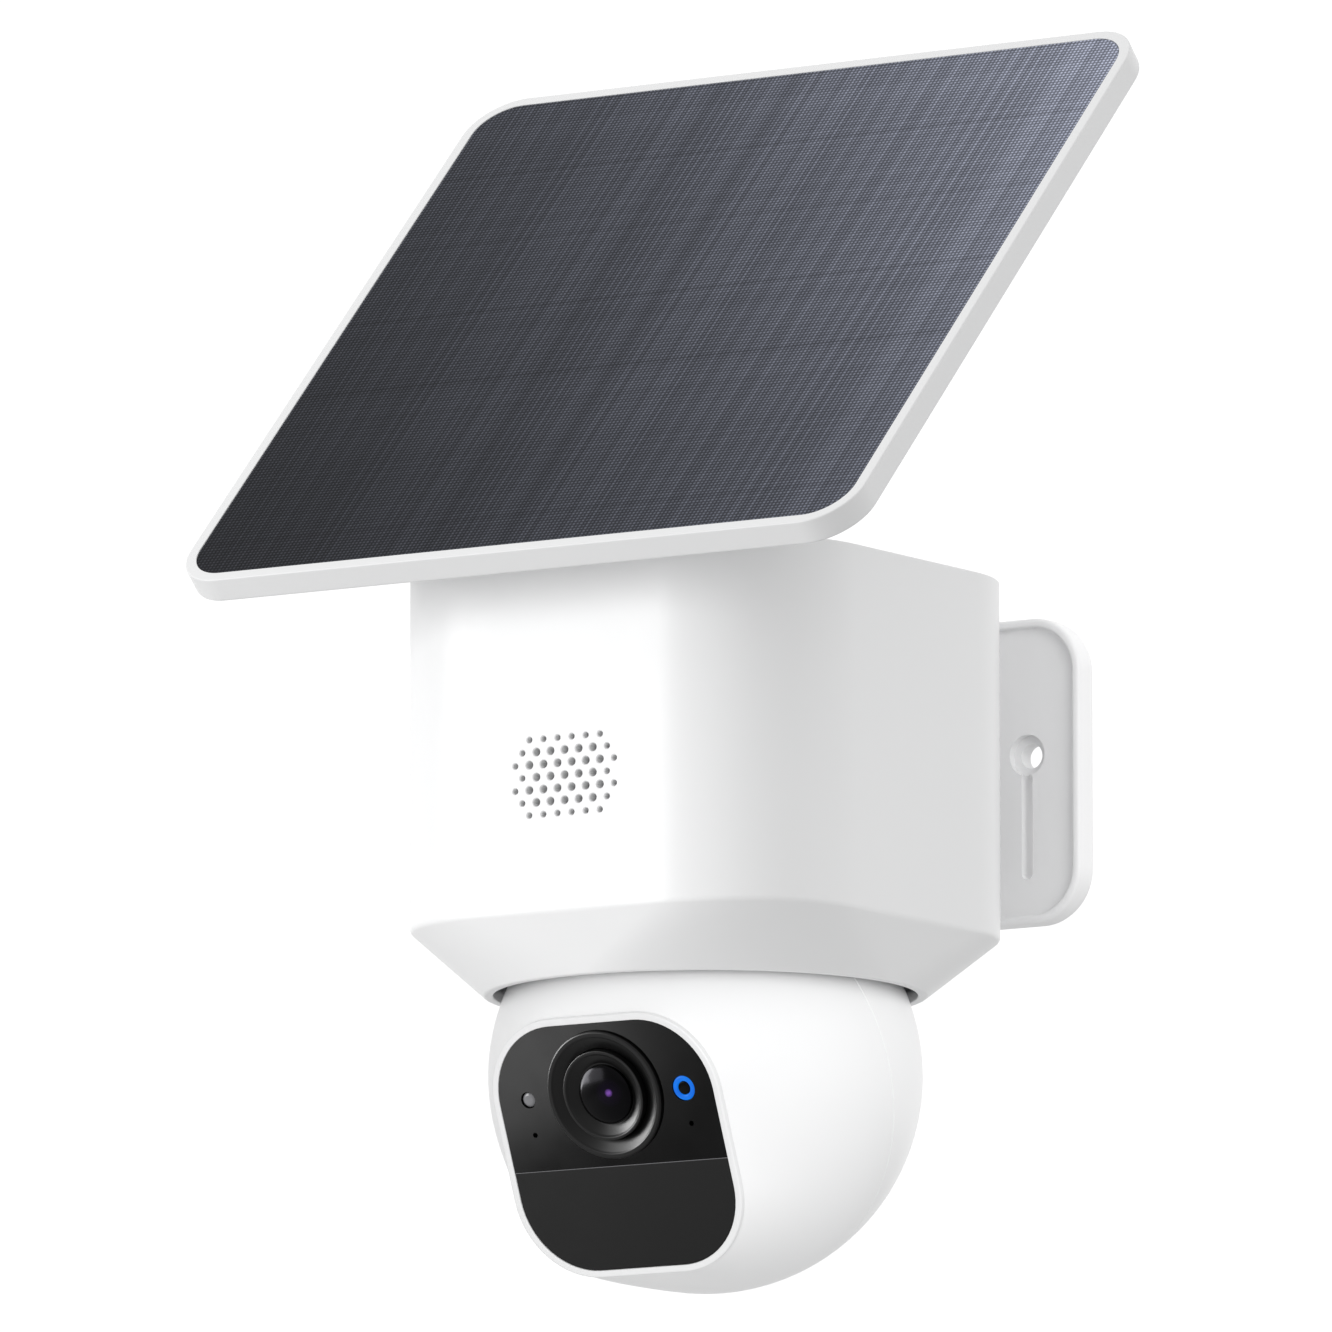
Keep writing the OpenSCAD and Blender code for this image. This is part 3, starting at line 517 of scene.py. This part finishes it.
def lens_glass():
    """Dark domed glass with a painted reflection: a small violet glint, as its coating throws, painted a
    little right of its middle.
    """
    sockets = {"Specular IOR Level": 0.07, "Specular Tint": rgba((0.9, 0.88, 1.0))}
    made, tree, shader = new_material("lens_glass", sockets)
    x, z = PAINTED_GLINT_PLACE
    # Painted reflection: a violet glint with a faint dark violet halo, painted into the base colour round
    # a fixed point.
    painted_glint_centre = HEAD @ Vector((x, -FACE_FRONT - DOME_RISE, LENS_Z + z))
    place = add(tree, "ShaderNodeTexCoord").outputs["Object"]
    inputs = {0: place, 1: painted_glint_centre}
    away = add(tree, "ShaderNodeVectorMath", inputs, operation="DISTANCE")
    painted_glint_core = spread(tree, away.outputs["Value"], 1, 0, 0.2 * MM, 0.75 * MM)
    painted_glint_halo = spread(tree, away.outputs["Value"], 1, 0, 0, 2.6 * MM)
    patchy_painted_glint = maths(tree, "MULTIPLY", painted_glint_core, spread(tree, mottle(tree, 2500), 0.4, 1.4))
    tint = blended(tree, painted_glint_halo, rgba((0.001,) * 3), rgba((0.004, 0.002, 0.008)))
    tint = blended(tree, patchy_painted_glint, tint, rgba((0.16, 0.06, 0.32)))
    tree.links.new(tint, shader.inputs["Base Color"])
    gloss = spread(tree, mottle(tree, 300), 0.14, 0.2)
    tree.links.new(gloss, shader.inputs["Roughness"])
    return made


def lit_ring():
    """Blue light ring, a little uneven as a light guide is."""
    made, tree, shader = new_material("light_blue", {"Roughness": 0.25})
    glow = mottle(tree, 500)
    tint = blended(tree, glow, rgba((0.0, 0.07, 0.6)), rgba((0.0, 0.28, 1.0)))
    tree.links.new(tint, shader.inputs["Emission Color"])
    shader.inputs["Base Color"].default_value = rgba((0.002, 0.01, 0.1))
    shader.inputs["Specular IOR Level"].default_value = 0.2
    shader.inputs["Emission Strength"].default_value = 0.85
    return made


def thin_lines(tree, value, pitch, start, width):
    """1 on lines a pitch apart, the first at start, and 0 outside their width."""
    shifted = maths(tree, "SUBTRACT", value, start - pitch / 2)
    share = maths(tree, "FRACT", maths(tree, "DIVIDE", shifted, pitch))
    away = maths(tree, "ABSOLUTE", maths(tree, "SUBTRACT", share, 0.5))
    return spread(tree, away, 1, 0, 0, width / pitch)


def thread_gain(tree, value, low, high):
    """A random gain for each row of domes along one direction."""
    row = maths(tree, "FLOOR", maths(tree, "DIVIDE", value, FILM_PITCH))
    noise = add(tree, "ShaderNodeTexWhiteNoise", {"W": row}, noise_dimensions="1D")
    return spread(tree, noise.outputs["Value"], low, high)


def film_domes(tree, plan):
    """1 on top of each dome of the film and 0 between the domes."""
    inputs = {0: plan, 3: 1 / FILM_PITCH}
    scaled = add(tree, "ShaderNodeVectorMath", inputs, operation="SCALE")
    cell = add(tree, "ShaderNodeVectorMath", {0: scaled.outputs[0]}, operation="FRACTION")
    inputs = {0: cell.outputs[0], 1: (0.5, 0.5, 0)}
    away = add(tree, "ShaderNodeVectorMath", inputs, operation="DISTANCE")
    return spread(tree, away.outputs["Value"], 1, 0, 0.12, 0.42)


def solar_film():
    """Film of fine domes over dark cells, with a painted sheen that grows lighter towards its upper
    corner, standing for a reflection.
    """
    made, tree, shader = new_material("solar_sheet", {"Specular IOR Level": 0.06})
    plan = add(tree, "ShaderNodeUVMap").outputs["UV"]
    split = add(tree, "ShaderNodeSeparateXYZ", {0: plan})
    across = split.outputs["X"]
    along = split.outputs["Y"]
    # Painted sheen: the colour grows lighter across and along towards the upper corner, in place of a
    # reflection.
    sideways = maths(tree, "MULTIPLY", across, 2 * PAINTED_SHEEN_RISE_ACROSS / PANEL_W)
    upwards = maths(tree, "MULTIPLY", along, 2 * PAINTED_SHEEN_RISE_ALONG / PANEL_L)
    painted_sheen = maths(tree, "EXPONENT", maths(tree, "ADD", sideways, upwards))
    domes = film_domes(tree, plan)
    gains = [
        maths(tree, "MULTIPLY", painted_sheen, FILM_TONE),
        spread(tree, domes, 0.6, 2.2),
        thread_gain(tree, across, 0.8, 1.2),
        thread_gain(tree, along, 0.92, 1.08),
        spread(tree, mottle(tree, 30, 4), 0.9, 1.1),
        spread(tree, thin_lines(tree, along, CELL_PITCH, CELL_START, 0.5), 1, 0.8),
    ]
    total = 1.0
    for gain in gains:
        total = maths(tree, "MULTIPLY", gain, total)
    tint = blended(tree, 1.0, rgba((0.75, 0.8, 1.0)), total, "MULTIPLY")
    tree.links.new(tint, shader.inputs["Base Color"])
    gloss = spread(tree, domes, 0.55, 0.4)
    tree.links.new(gloss, shader.inputs["Roughness"])
    roughen(tree, shader, domes, 0.02)
    return made


def all_materials():
    """One procedural material for each material slot of the record."""
    return {
        "white_shell": plastic("white_shell", (0.83, 0.832, 0.835), 0.36),
        # The ball's white is the housing's plastic painted lighter, and the panel frame's white is the
        # same plastic painted darker: painted light and shade.
        "ball_white_painted_lighter": plastic("ball_white_painted_lighter", (0.9, 0.902, 0.905), 0.33),
        "panel_white_painted_darker": plastic("panel_white_painted_darker", (0.73, 0.732, 0.735), 0.4),
        "bracket_plastic": plastic("bracket_plastic", (0.85, 0.85, 0.855), 0.42),
        "trim_plastic": plastic("trim_plastic", (0.84, 0.842, 0.845), 0.3),
        "gloss_black": plastic(
            "gloss_black", (0.0015,) * 3, 0.1, 0.3, 400, 0.0002, Specular_IOR_Level=0.08
        ),
        "window_black": plastic(
            "window_black", (0.006,) * 3, 0.35, 0.1, 1500, 0.0005, Specular_IOR_Level=0.09
        ),
        "lens_black": plastic(
            "lens_black", (0.003,) * 3, 0.34, 0.2, 2500, 0.002, Specular_IOR_Level=0.22
        ),
        "lens_glass": lens_glass(),
        "light_blue": lit_ring(),
        "sensor_gray": plastic("sensor_gray", (0.2, 0.2, 0.21), 0.15, 0.3, 900),
        "solar_cell": plastic("solar_cell", (0.012, 0.016, 0.03), 0.25, 0.4, 300),
        "solar_sheet": solar_film(),
        "inner_plastic": plastic("inner_plastic", (0.3, 0.31, 0.33), 0.5),
        "rubber": plastic("rubber", (0.02, 0.02, 0.021), 0.75, 0.2, 1800, 0.01),
        "light_rubber": plastic("light_rubber", (0.76, 0.76, 0.765), 0.6, 0.04),
        "steel": metal("steel", (0.62, 0.63, 0.65), 0.3),
        "bronze": metal("bronze", (0.6, 0.42, 0.2), 0.35, (12, 1, 1)),
        "gear_plastic": plastic("gear_plastic", (0.72, 0.68, 0.52), 0.4, 0.05),
        "circuit_board": circuit_board(),
        "battery_wrap": plastic("battery_wrap", (0.03, 0.09, 0.22), 0.25, 0.1),
        "fine_mesh": fine_mesh(),
    }


MATERIALS = all_materials()

# ---- Housing ----


def grille_cutters():
    """The rows of round holes of the speaker grille, each with a small lead-in."""
    front = BODY_D / 2
    shapes = []
    for row, count in enumerate(GRILLE_COUNTS):
        z = GRILLE_Z + (len(GRILLE_COUNTS) // 2 - row) * GRILLE_PITCH[1]
        for i in range(count):
            edge = row in (0, len(GRILLE_COUNTS) - 1) or i in (0, count - 1)
            r = GRILLE_SMALL_R if edge else GRILLE_LARGE_R
            section = [(0, front - 4), (r, front - 4), (r, front - 0.15)]
            section += [(r + 0.25, front + 0.1), (0, front + 0.1)]
            hole = turning(section, [0] * 5, loop=False, steps=24)
            x = (i - (count - 1) / 2) * GRILLE_PITCH[0]
            shapes.append(moved(hole, at(x, 0, z, FRONT)))
    return joined(*shapes)


def housing_shell():
    """Rounded square housing that runs down to a round collar, with real walls."""

    def straight(inset):
        return round_rect(BODY_W - 2 * inset, BODY_D - 2 * inset, BODY_R - inset)

    def collar(r):
        return round_rect(2 * r, 2 * r, r)

    stations = [
        (collar(COLLAR_R + COLLAR_RIM), 0, 0.4),
        (straight(0), SKIRT_H, 0.7),
        (straight(0), BODY_H, 0.35),
        (straight(LID_INSET), BODY_H, 0.15),
        (straight(LID_INSET), BODY_H - LID_T, 0),
        (straight(WALL), BODY_H - LID_T, 0),
        (straight(WALL), SKIRT_H + 3, 0),
        (collar(COLLAR_R), 2, 0.5),
        (collar(COLLAR_R), 0, 0.3),
    ]
    cuts = [c for _, _, c in stations]
    columns = []
    for i in range(len(stations[0][0])):
        path = [Vector((o[i].x, o[i].y, z)) for o, z, _ in stations]
        columns.append(eased(path, cuts))
    obj = as_object("housing_shell", skin(list(zip(*columns)), loop=True))
    cut(obj, grille_cutters())
    behind = at(0, 0, COVER_Z, BACK)
    hatch = moulding(HATCH, [(0, BODY_D / 2 - 10), (0, BODY_D / 2 + 1)], [0, 0])
    cut(obj, moved(hatch, behind))
    floor = BODY_D / 2 - SEAT_DEPTH
    seat = moulding(HATCH_SEAT, [(0, floor), (0, BODY_D / 2 + 1)], [0, 0])
    cut(obj, moved(seat, behind))
    settle(obj, HOUSING, "housing", "white_shell", ["body_shell"])


# ---- Bracket ----


def bracket():
    """Wall plate with a soft lip round its tray, its screw holes and its strap slots."""
    front = PLATE_T - WALL_Y
    behind = -WALL_Y - 1
    path = [(4, -WALL_Y), (0, -WALL_Y), (0, front), (TRAY_LIP, front)]
    path += [(TRAY_LIP, front - TRAY_DEPTH), (6, front - TRAY_DEPTH)]
    plate = moulding((PLATE_W, PLATE_H, PLATE_R), path, [0, 2.6, 1, 0.5, 0.6, 0])
    obj = as_object("bracket_plate", plate)
    screws = [at(x, SCREW_Z) for x in (-SCREW_X, SCREW_X)]
    low, high = SLOT_SPAN
    straps = [at(x, (low + high) / 2) for x in (-SCREW_X, SCREW_X)]
    size = (SLOT_W, high - low, SLOT_W / 2 - 0.01)
    cut(obj, moved(rod(SCREW_R, behind, front + 1, 48), *screws))
    cut(obj, moved(rod(COUNTERBORE_R, BORE_DEPTH - WALL_Y, front + 1, 64), *screws))
    cut(obj, moved(moulding(size, [(0, behind), (0, front + 1)], [0, 0]), *straps))
    ease_edges(obj, 0.15, 2, 60)
    settle(obj, HOUSING @ at(0, 0, PLATE_Z, FRONT), "housing", "bracket_plastic")
    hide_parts("wall_bracket")
    bracket_arm(front)


def bracket_arm(front):
    """Arm and tongue that carry the housing, drawn out from the plate's tray."""
    arm = moulding(ARM, [(0, front - 2), (0, ARM_FRONT)], [0, 0])
    arm = moved(arm, at(0, ARM_Z - PLATE_Z))
    start, step, end = TONGUE_SPAN
    tongue = moulding(TONGUE, [(0, start), (0, step)], [0, 0])
    head = moulding(TONGUE_HEAD, [(0, step), (0, end)], [0, 0])
    shapes = joined(arm, moved(joined(tongue, head), at(0, TONGUE_Z - PLATE_Z)))
    obj = as_object("bracket_arm", shapes)
    ease_edges(obj, 0.4, 3, 40)
    r, length, z, y = LOCK_HOLE
    cut(obj, moved(rod(r, 0, length), at(0, z - PLATE_Z, y, BACK)))
    settle(obj, HOUSING @ at(0, 0, PLATE_Z, FRONT), "housing", "bracket_plastic")
    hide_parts("wall_bracket")


# ---- Head ----


def ball_column(rim):
    """Outer line of the ball from a point on the face's rim back to the equator."""
    reach = rim.length
    start = math.acos(-rim.y / reach)
    flare = math.acos(min(1, HEAD_R / reach))
    span = math.hypot(math.radians(16), 1.15 * flare)
    turn = math.atan2(rim.z, rim.x)
    points = []
    steps = 36
    for i in range(steps + 1):
        t = start + (math.pi / 2 - start) * i / steps
        share = max(0.0, 1 - (t - start) / span)
        r = HEAD_R + (reach - HEAD_R) * share**2
        side = Vector((math.cos(turn), 0, math.sin(turn))) * math.sin(t)
        points.append((side - Vector((0, math.cos(t), 0))) * r)
    return points


def face_outline(shrink):
    """Outline of the face about the ball's centre, grown when shrink is negative."""
    w = FACE_W - 2 * shrink
    return [p + Vector((0, FACE_Z)) for p in round_rect(w, w, FACE_R - shrink, 20, 10)]


def head_front():
    """Front half of the ball, drawn out to the rim of the face."""
    rim_y = TRIM_DEPTH - FACE_FRONT
    seat_y = SEAT_BACK - FACE_FRONT
    rim = face_outline(-TRIM_W)
    seat = face_outline(-0.1)
    mouth = face_outline(2)
    columns = []
    for i, p in enumerate(rim):
        outer = ball_column(Vector((p.x, rim_y, p.y)))
        inner = [q * ((q.length - HEAD_WALL) / q.length) for q in outer[8:]]
        lip = outer[-1] + Vector((0, -0.12, 0))
        chamfer = outer[-1] * ((HEAD_R - 0.12) / HEAD_R)
        path = [outer[0] * 0.9985] + outer[1:-1] + [lip, chamfer]
        path += inner[::-1]
        path.append(Vector((mouth[i].x, seat_y + 2, mouth[i].y)))
        path.append(Vector((mouth[i].x, seat_y, mouth[i].y)))
        path.append(Vector((seat[i].x, seat_y, seat[i].y)))
        path.append(Vector((seat[i].x, rim_y, seat[i].y)))
        columns.append(path)
    obj = as_object("ball_front", skin(list(zip(*columns)), loop=True))
    half, near, far = DOOR
    door = prism([Vector(q) for q in ((-half, 20), (half, 20), (half, 45), (-half, 45))], near, far)
    cut(obj, moved(door, Matrix.Rotation(math.radians(90), 4, "X") @ Matrix.Scale(-1, 4, (0, 1, 0))))
    settle(obj, HEAD, "head", "white_shell", ["head_front_shell"], 30, False, "ball_white_painted_lighter")


def head_rear():
    """Rear half of the ball, with the slot for the neck."""
    steps = 40
    outer = [math.radians(90 * i / steps) for i in range(steps + 1)]
    section = [(HEAD_R * math.cos(a), HEAD_R * math.sin(a)) for a in outer]
    section[0] = (HEAD_R, 0.12)
    section.insert(0, (HEAD_R - 0.12, 0.0))
    inside = HEAD_R - HEAD_WALL
    section += [(inside * math.cos(a), inside * math.sin(a)) for a in reversed(outer)]
    ring = turning(section + [section[0]], [0] * (len(section) + 1), loop=False, steps=128)
    obj = as_object("ball_rear", moved(ring, BACK))
    fan = [Vector((0, 0))]
    turns = [math.radians(8 * k - 1.5) for k in range(12)]
    fan += [50 * Vector((math.cos(a), math.sin(a))) for a in turns]
    slot = moved(
        prism(fan, -NECK_SLOT, NECK_SLOT),
        Matrix(((0, 0, 1, 0), (1, 0, 0, 0), (0, 1, 0, 0), (0, 0, 0, 1))),
    )
    cut(obj, slot)
    x, z = SHELL_SCREW
    places = [at(s * x, 0, z, BACK) for s in (-1, 1)]
    cut(obj, moved(rod(2.1, 12, 50, 48), *places))
    settle(obj, HEAD, "head", "white_shell", ["head_rear_shell"], 30, False, "ball_white_painted_lighter")


# ---- Face ----


def clipped(outline, low, high):
    """The part of an outline between two heights."""
    for edge, side in ((low, 1), (high, -1)):
        kept = []
        for i, p in enumerate(outline):
            q = outline[(i + 1) % len(outline)]
            p_in = side * (p.y - edge) >= 0
            q_in = side * (q.y - edge) >= 0
            if p_in:
                kept.append(p)
            if p_in != q_in:
                kept.append(p.lerp(q, (edge - p.y) / (q.y - p.y)))
        outline = kept
    return outline


def face_parts():
    """Trim ring, glossy cover with its holes, and the dark window under it."""
    back = FACE_FRONT - TRIM_DEPTH
    path = [(0, back), (0, FACE_FRONT), (TRIM_W, FACE_FRONT), (TRIM_W, back)]
    w = FACE_W + 2 * TRIM_W
    ring = moulding((w, w, FACE_R + TRIM_W), path, [0, 0.35, 0.2, 0], loop=True)
    obj = as_object("trim_ring", moved(ring, at(0, FACE_Z)))
    settle(obj, HEAD @ FRONT, "head", "trim_plastic", ["face_trim"])

    low = FACE_FRONT - SEAT_BACK + 0.1
    high = FACE_FRONT - COVER_RECESS
    edge = face_outline(0.05)
    obj = as_object("gloss_cover", prism(clipped(edge, PARTING_Z + 0.05, 50), low, high))
    mic_x, mic_z = MIC_PLACE
    holes = [(0, LENS_Z, BEZEL_R - 0.35, 96), (SENSOR_X, LENS_Z, STATUS_R + 0.05, 48)]
    holes += [(-SENSOR_X, LENS_Z, SENSOR_R + 0.1, 48), (-mic_x, mic_z, 0.45, 24), (mic_x, mic_z, 0.45, 24)]
    for x, z, r, steps in holes:
        cut(obj, moved(rod(r, low - 1, high + 1, steps), at(x, z)))
    ease_edges(obj, 0.1, 2, 60)
    settle(obj, HEAD @ FRONT, "head", "gloss_black", ["face_cover"])

    obj = as_object("dark_window", prism(clipped(edge, -50, PARTING_Z - 0.05), low, high))
    ease_edges(obj, 0.12, 2, 60)
    settle(obj, HEAD @ FRONT, "head", "window_black", ["lower_window"])

    # A light grey strip along the parting line: a painted highlight standing for the light that the edges
    # there catch.
    seam_highlight_strip = clipped(edge, PARTING_Z - 0.045, PARTING_Z + 0.045)
    obj = as_object("seam_painted_highlight", prism(seam_highlight_strip, low, high - 0.02))
    settle(obj, HEAD @ FRONT, "head", "sensor_gray")


def lens_parts():
    """Bezel, barrel and domed front glass of the lens."""
    place = HEAD @ at(0, 0, LENS_Z) @ FRONT
    f = FACE_FRONT
    r = BEZEL_R
    e = ELEMENT_R
    top = f + BEZEL_RISE
    bezel = [(FUNNEL_R, BEZEL_BACK), (r - 0.4, BEZEL_BACK), (r - 0.4, f - 0.2), (r, f - 0.2)]
    bezel += [(r, top - 0.2), (r - 0.25, top), (r - 0.9, top), (r - 1.15, top - 0.2)]
    bezel += [(FUNNEL_R, f - 0.6)]
    obj = as_object("bezel_ring", turning(bezel, [0, 0, 0, 0, 0.1, 0.1, 0.12, 0.1, 0.15]))
    settle(obj, place, "head", "lens_black", ["lens_bezel"], weigh=False)
    b = BARREL_R
    top = f + BARREL_RISE
    barrel = [(e + 0.05, BARREL_BACK), (b, BARREL_BACK), (b, top), (b - 0.5, top)]
    barrel += [(b - 0.8, top - 0.3), (e + 0.35, f - 0.5), (e + 0.05, f - 0.5)]
    obj = as_object("barrel_ring", turning(barrel, [0, 0, 0.15, 0.1, 0.1, 0.1, 0.05]))
    settle(obj, place, "head", "lens_black", ["lens_barrel"], weigh=False)
    top = f + DOME_RISE - DOME_R
    dome = [(0, f - 0.3), (2.4, f - 0.42), (e - 0.3, f - 0.9), (e, f - 0.8), (e, f + 0.05)]
    dome += [(x, top + math.sqrt(DOME_R**2 - x**2)) for x in (e - 0.15, 4.1, 3.2, 2.1, 1, 0)]
    obj = as_object("front_glass", turning(dome, [0] * len(dome), loop=False))
    settle(obj, place, "head", "lens_glass", ["lens_glass"], weigh=False)


def small_face_parts():
    """Light ring with its dark centre, and the domed light sensor."""
    top = FACE_FRONT - 0.25
    place = HEAD @ at(SENSOR_X, 0, LENS_Z) @ FRONT
    r = STATUS_CORE_R
    path = [(r, 27), (STATUS_R, 27), (STATUS_R, top), (r, top)]
    obj = as_object("light_ring", turning(path, [0, 0, 0.3, 0.25], steps=64))
    settle(obj, place, "head", "light_blue", ["status_light"])
    path = [(0, 27), (r - 0.05, 27), (r - 0.05, top - 0.1), (0, top)]
    obj = as_object("light_core", turning(path, [0, 0, 0.2, 0], loop=False, steps=48))
    settle(obj, place, "head", "gloss_black")
    place = HEAD @ at(-SENSOR_X, 0, LENS_Z) @ FRONT
    r = SENSOR_R
    path = [(0, 26.5), (r, 26.5), (r, top - 0.35), (r - 0.4, top - 0.08), (0, top)]
    obj = as_object("sensor_dome", turning(path, [0, 0, 0.2, 0.3, 0], loop=False, steps=48))
    settle(obj, place, "head", "sensor_gray", ["light_sensor"])


# ---- Solar panel ----


def panel_parts():
    """White frame of the panel and the textured film in it."""
    back = PANEL_REACH - PANEL_T
    floor = back + 2
    path = [(4, back), (0, back), (0, PANEL_REACH), (PANEL_RIM, PANEL_REACH), (PANEL_RIM, floor)]
    size = (PANEL_W, PANEL_L, PANEL_R)
    obj = as_object("panel_rim", moulding(size, path, [0, 0.5, 0.3, 0.12, 0]))
    settle(obj, PANEL, "panel", "white_shell", ["panel_frame"], material="panel_white_painted_darker")

    low = PANEL_REACH - 0.9
    high = PANEL_REACH - 0.12
    shrink = 2 * PANEL_RIM + 0.1
    size = (PANEL_W - shrink, PANEL_L - shrink, PANEL_R - PANEL_RIM - 0.05)
    film = moulding(size, [(0, low), (0, high), (0.4, high)], [0, 0.12, 0])
    obj = as_object("panel_film", film)
    layer = obj.data.uv_layers.new(name="panel_plan")
    for loop in obj.data.loops:
        co = obj.data.vertices[loop.vertex_index].co
        layer.data[loop.index].uv = (co.x, co.y)
    settle(obj, PANEL, "panel", "solar_sheet", ["panel_glass"])


# ---- The rest of the CAD nodes ----


def small_parts():
    """Eases the edges of the smaller parts that show."""
    for node in ("top_cover", "rear_cover", "panel_hinge", "panel_stem"):
        refine(node, 0.3)
    for node in ("port_flap", "sync_button", "card_door", "hinge_bolt", "hinge_nut"):
        refine(node, 0.15)
    for node in ("lock_screw", "panel_screws", "top_screws", "rear_screws", "head_screws"):
        refine(node, 0.12, 2)


def finish_nodes():
    """Gives every CAD node that still shows its procedural material."""
    for node, obj in NODES.items():
        for slot in obj.material_slots:
            slot.material = MATERIALS[SLOT_OF[node]]


# ---- Studio ----


def view_line():
    """Direction in which the camera looks."""
    turn = math.radians(CAMERA_TURN)
    rise = math.radians(CAMERA_RISE)
    level = math.cos(rise)
    return Vector((-math.sin(turn) * level, math.cos(turn) * level, -math.sin(rise)))


def camera():
    data = bpy.data.cameras.new("camera")
    data.lens = CAMERA_LENS
    data.sensor_width = 36
    data.clip_end = 50
    obj = bpy.data.objects.new("camera", data)
    obj.location = Vector(CAMERA_AIM) - view_line() * CAMERA_RANGE
    obj.rotation_euler = view_line().to_track_quat("-Z", "Y").to_euler()
    bpy.context.scene.collection.objects.link(obj)
    bpy.context.scene.camera = obj


def world():
    """Soft white room, brighter behind the object, above it and on its right."""
    made = bpy.data.worlds.new("room")
    made.use_nodes = True
    bpy.context.scene.world = made
    tree = made.node_tree
    look = add(tree, "ShaderNodeTexCoord").outputs["Generated"]
    total = 0.6
    lobes = [
        (view_line(), 0.2, 0.8, 0.4),
        (Vector((1, -0.1, 0.2)), 0.0, 1.0, 0.25),
        (Vector((0, 0, 1)), -1.0, 1.0, 0.3),
        (Vector((-1, -0.3, -0.2)), 0.0, 1.0, -0.3),
    ]
    for direction, start, end, gain in lobes:
        inputs = {0: look, 1: direction.normalized()}
        facing = add(tree, "ShaderNodeVectorMath", inputs, operation="DOT_PRODUCT")
        part = spread(tree, facing.outputs["Value"], 0, gain, start, end)
        total = maths(tree, "ADD", part, total)
    background = tree.nodes["Background"]
    background.inputs["Color"].default_value = (1, 1, 1, 1)
    tree.links.new(total, background.inputs["Strength"])


def softbox(name, towards, distance, size, power, centre=CAMERA_AIM):
    """Square light that looks at the centre from that direction."""
    data = bpy.data.lights.new(name, "AREA")
    data.size = size
    data.energy = power
    obj = bpy.data.objects.new(name, data)
    away = Vector(towards).normalized()
    obj.location = Vector(centre) + away * distance
    obj.rotation_euler = (-away).to_track_quat("-Z", "Y").to_euler()
    obj.visible_camera = False
    bpy.context.scene.collection.objects.link(obj)
    return obj


def aimed(light, names, state="INCLUDE"):
    """Lets the light reach these pieces alone, or all but these."""
    group = bpy.data.collections.new(light.name + "_pieces")
    for name in names:
        group.objects.link(bpy.data.objects[name])
    for entry in group.collection_objects:
        entry.light_linking.link_state = state
    light.light_linking.receiver_collection = group


def face_glow():
    """Card of light that the black face mirrors on its upper left."""
    face = HEAD @ Vector((-105, -FACE_FRONT, 40))
    out = (HEAD.to_3x3() @ Vector((0, -1, 0))).normalized()
    line = view_line()
    mirrored = line - 2 * line.dot(out) * out
    light = softbox("face_glow", mirrored, 0.5, 0.15, 0.65, face)
    aimed(light, ["gloss_cover", "dark_window"])


def floor():
    """Pale round floor well below the wall bracket."""
    path = [(0, -0.02), (FLOOR_R, -0.02), (FLOOR_R, 0), (0, 0)]
    obj = as_object("floor", turning(path, [0, 0, 0.008, 0], loop=False))
    obj.data.transform(at(0, 0, FLOOR_Z))
    obj.data.materials.append(plastic("floor_paint", (0.58, 0.58, 0.58), 0.7, 0.02, 40, 0.05))


def studio():
    """Camera, room, lights and floor."""
    bpy.context.scene.view_settings.view_transform = "Standard"
    camera()
    world()
    ball = ["ball_front", "ball_rear", "trim_ring"]
    lens = ["bezel_ring", "barrel_ring", "front_glass"]
    aimed(softbox("key", KEY, LAMP_RANGE, LAMP_SIZE, 9.5), ball, "EXCLUDE")
    aimed(softbox("ball_key", BALL_KEY, LAMP_RANGE, LAMP_SIZE, 6), ball)
    wall = ["bracket_plate", "bracket_arm"]
    aimed(softbox("bracket_fill", BRACKET_FILL, LAMP_RANGE, 0.6, 4.6), wall)
    aimed(softbox("lens_glow", LENS_GLOW, 0.9, 0.5, 17), lens)
    face_glow()
    floor()


housing_shell()
bracket()
head_front()
head_rear()
face_parts()
lens_parts()
small_face_parts()
panel_parts()
small_parts()
finish_nodes()
studio()
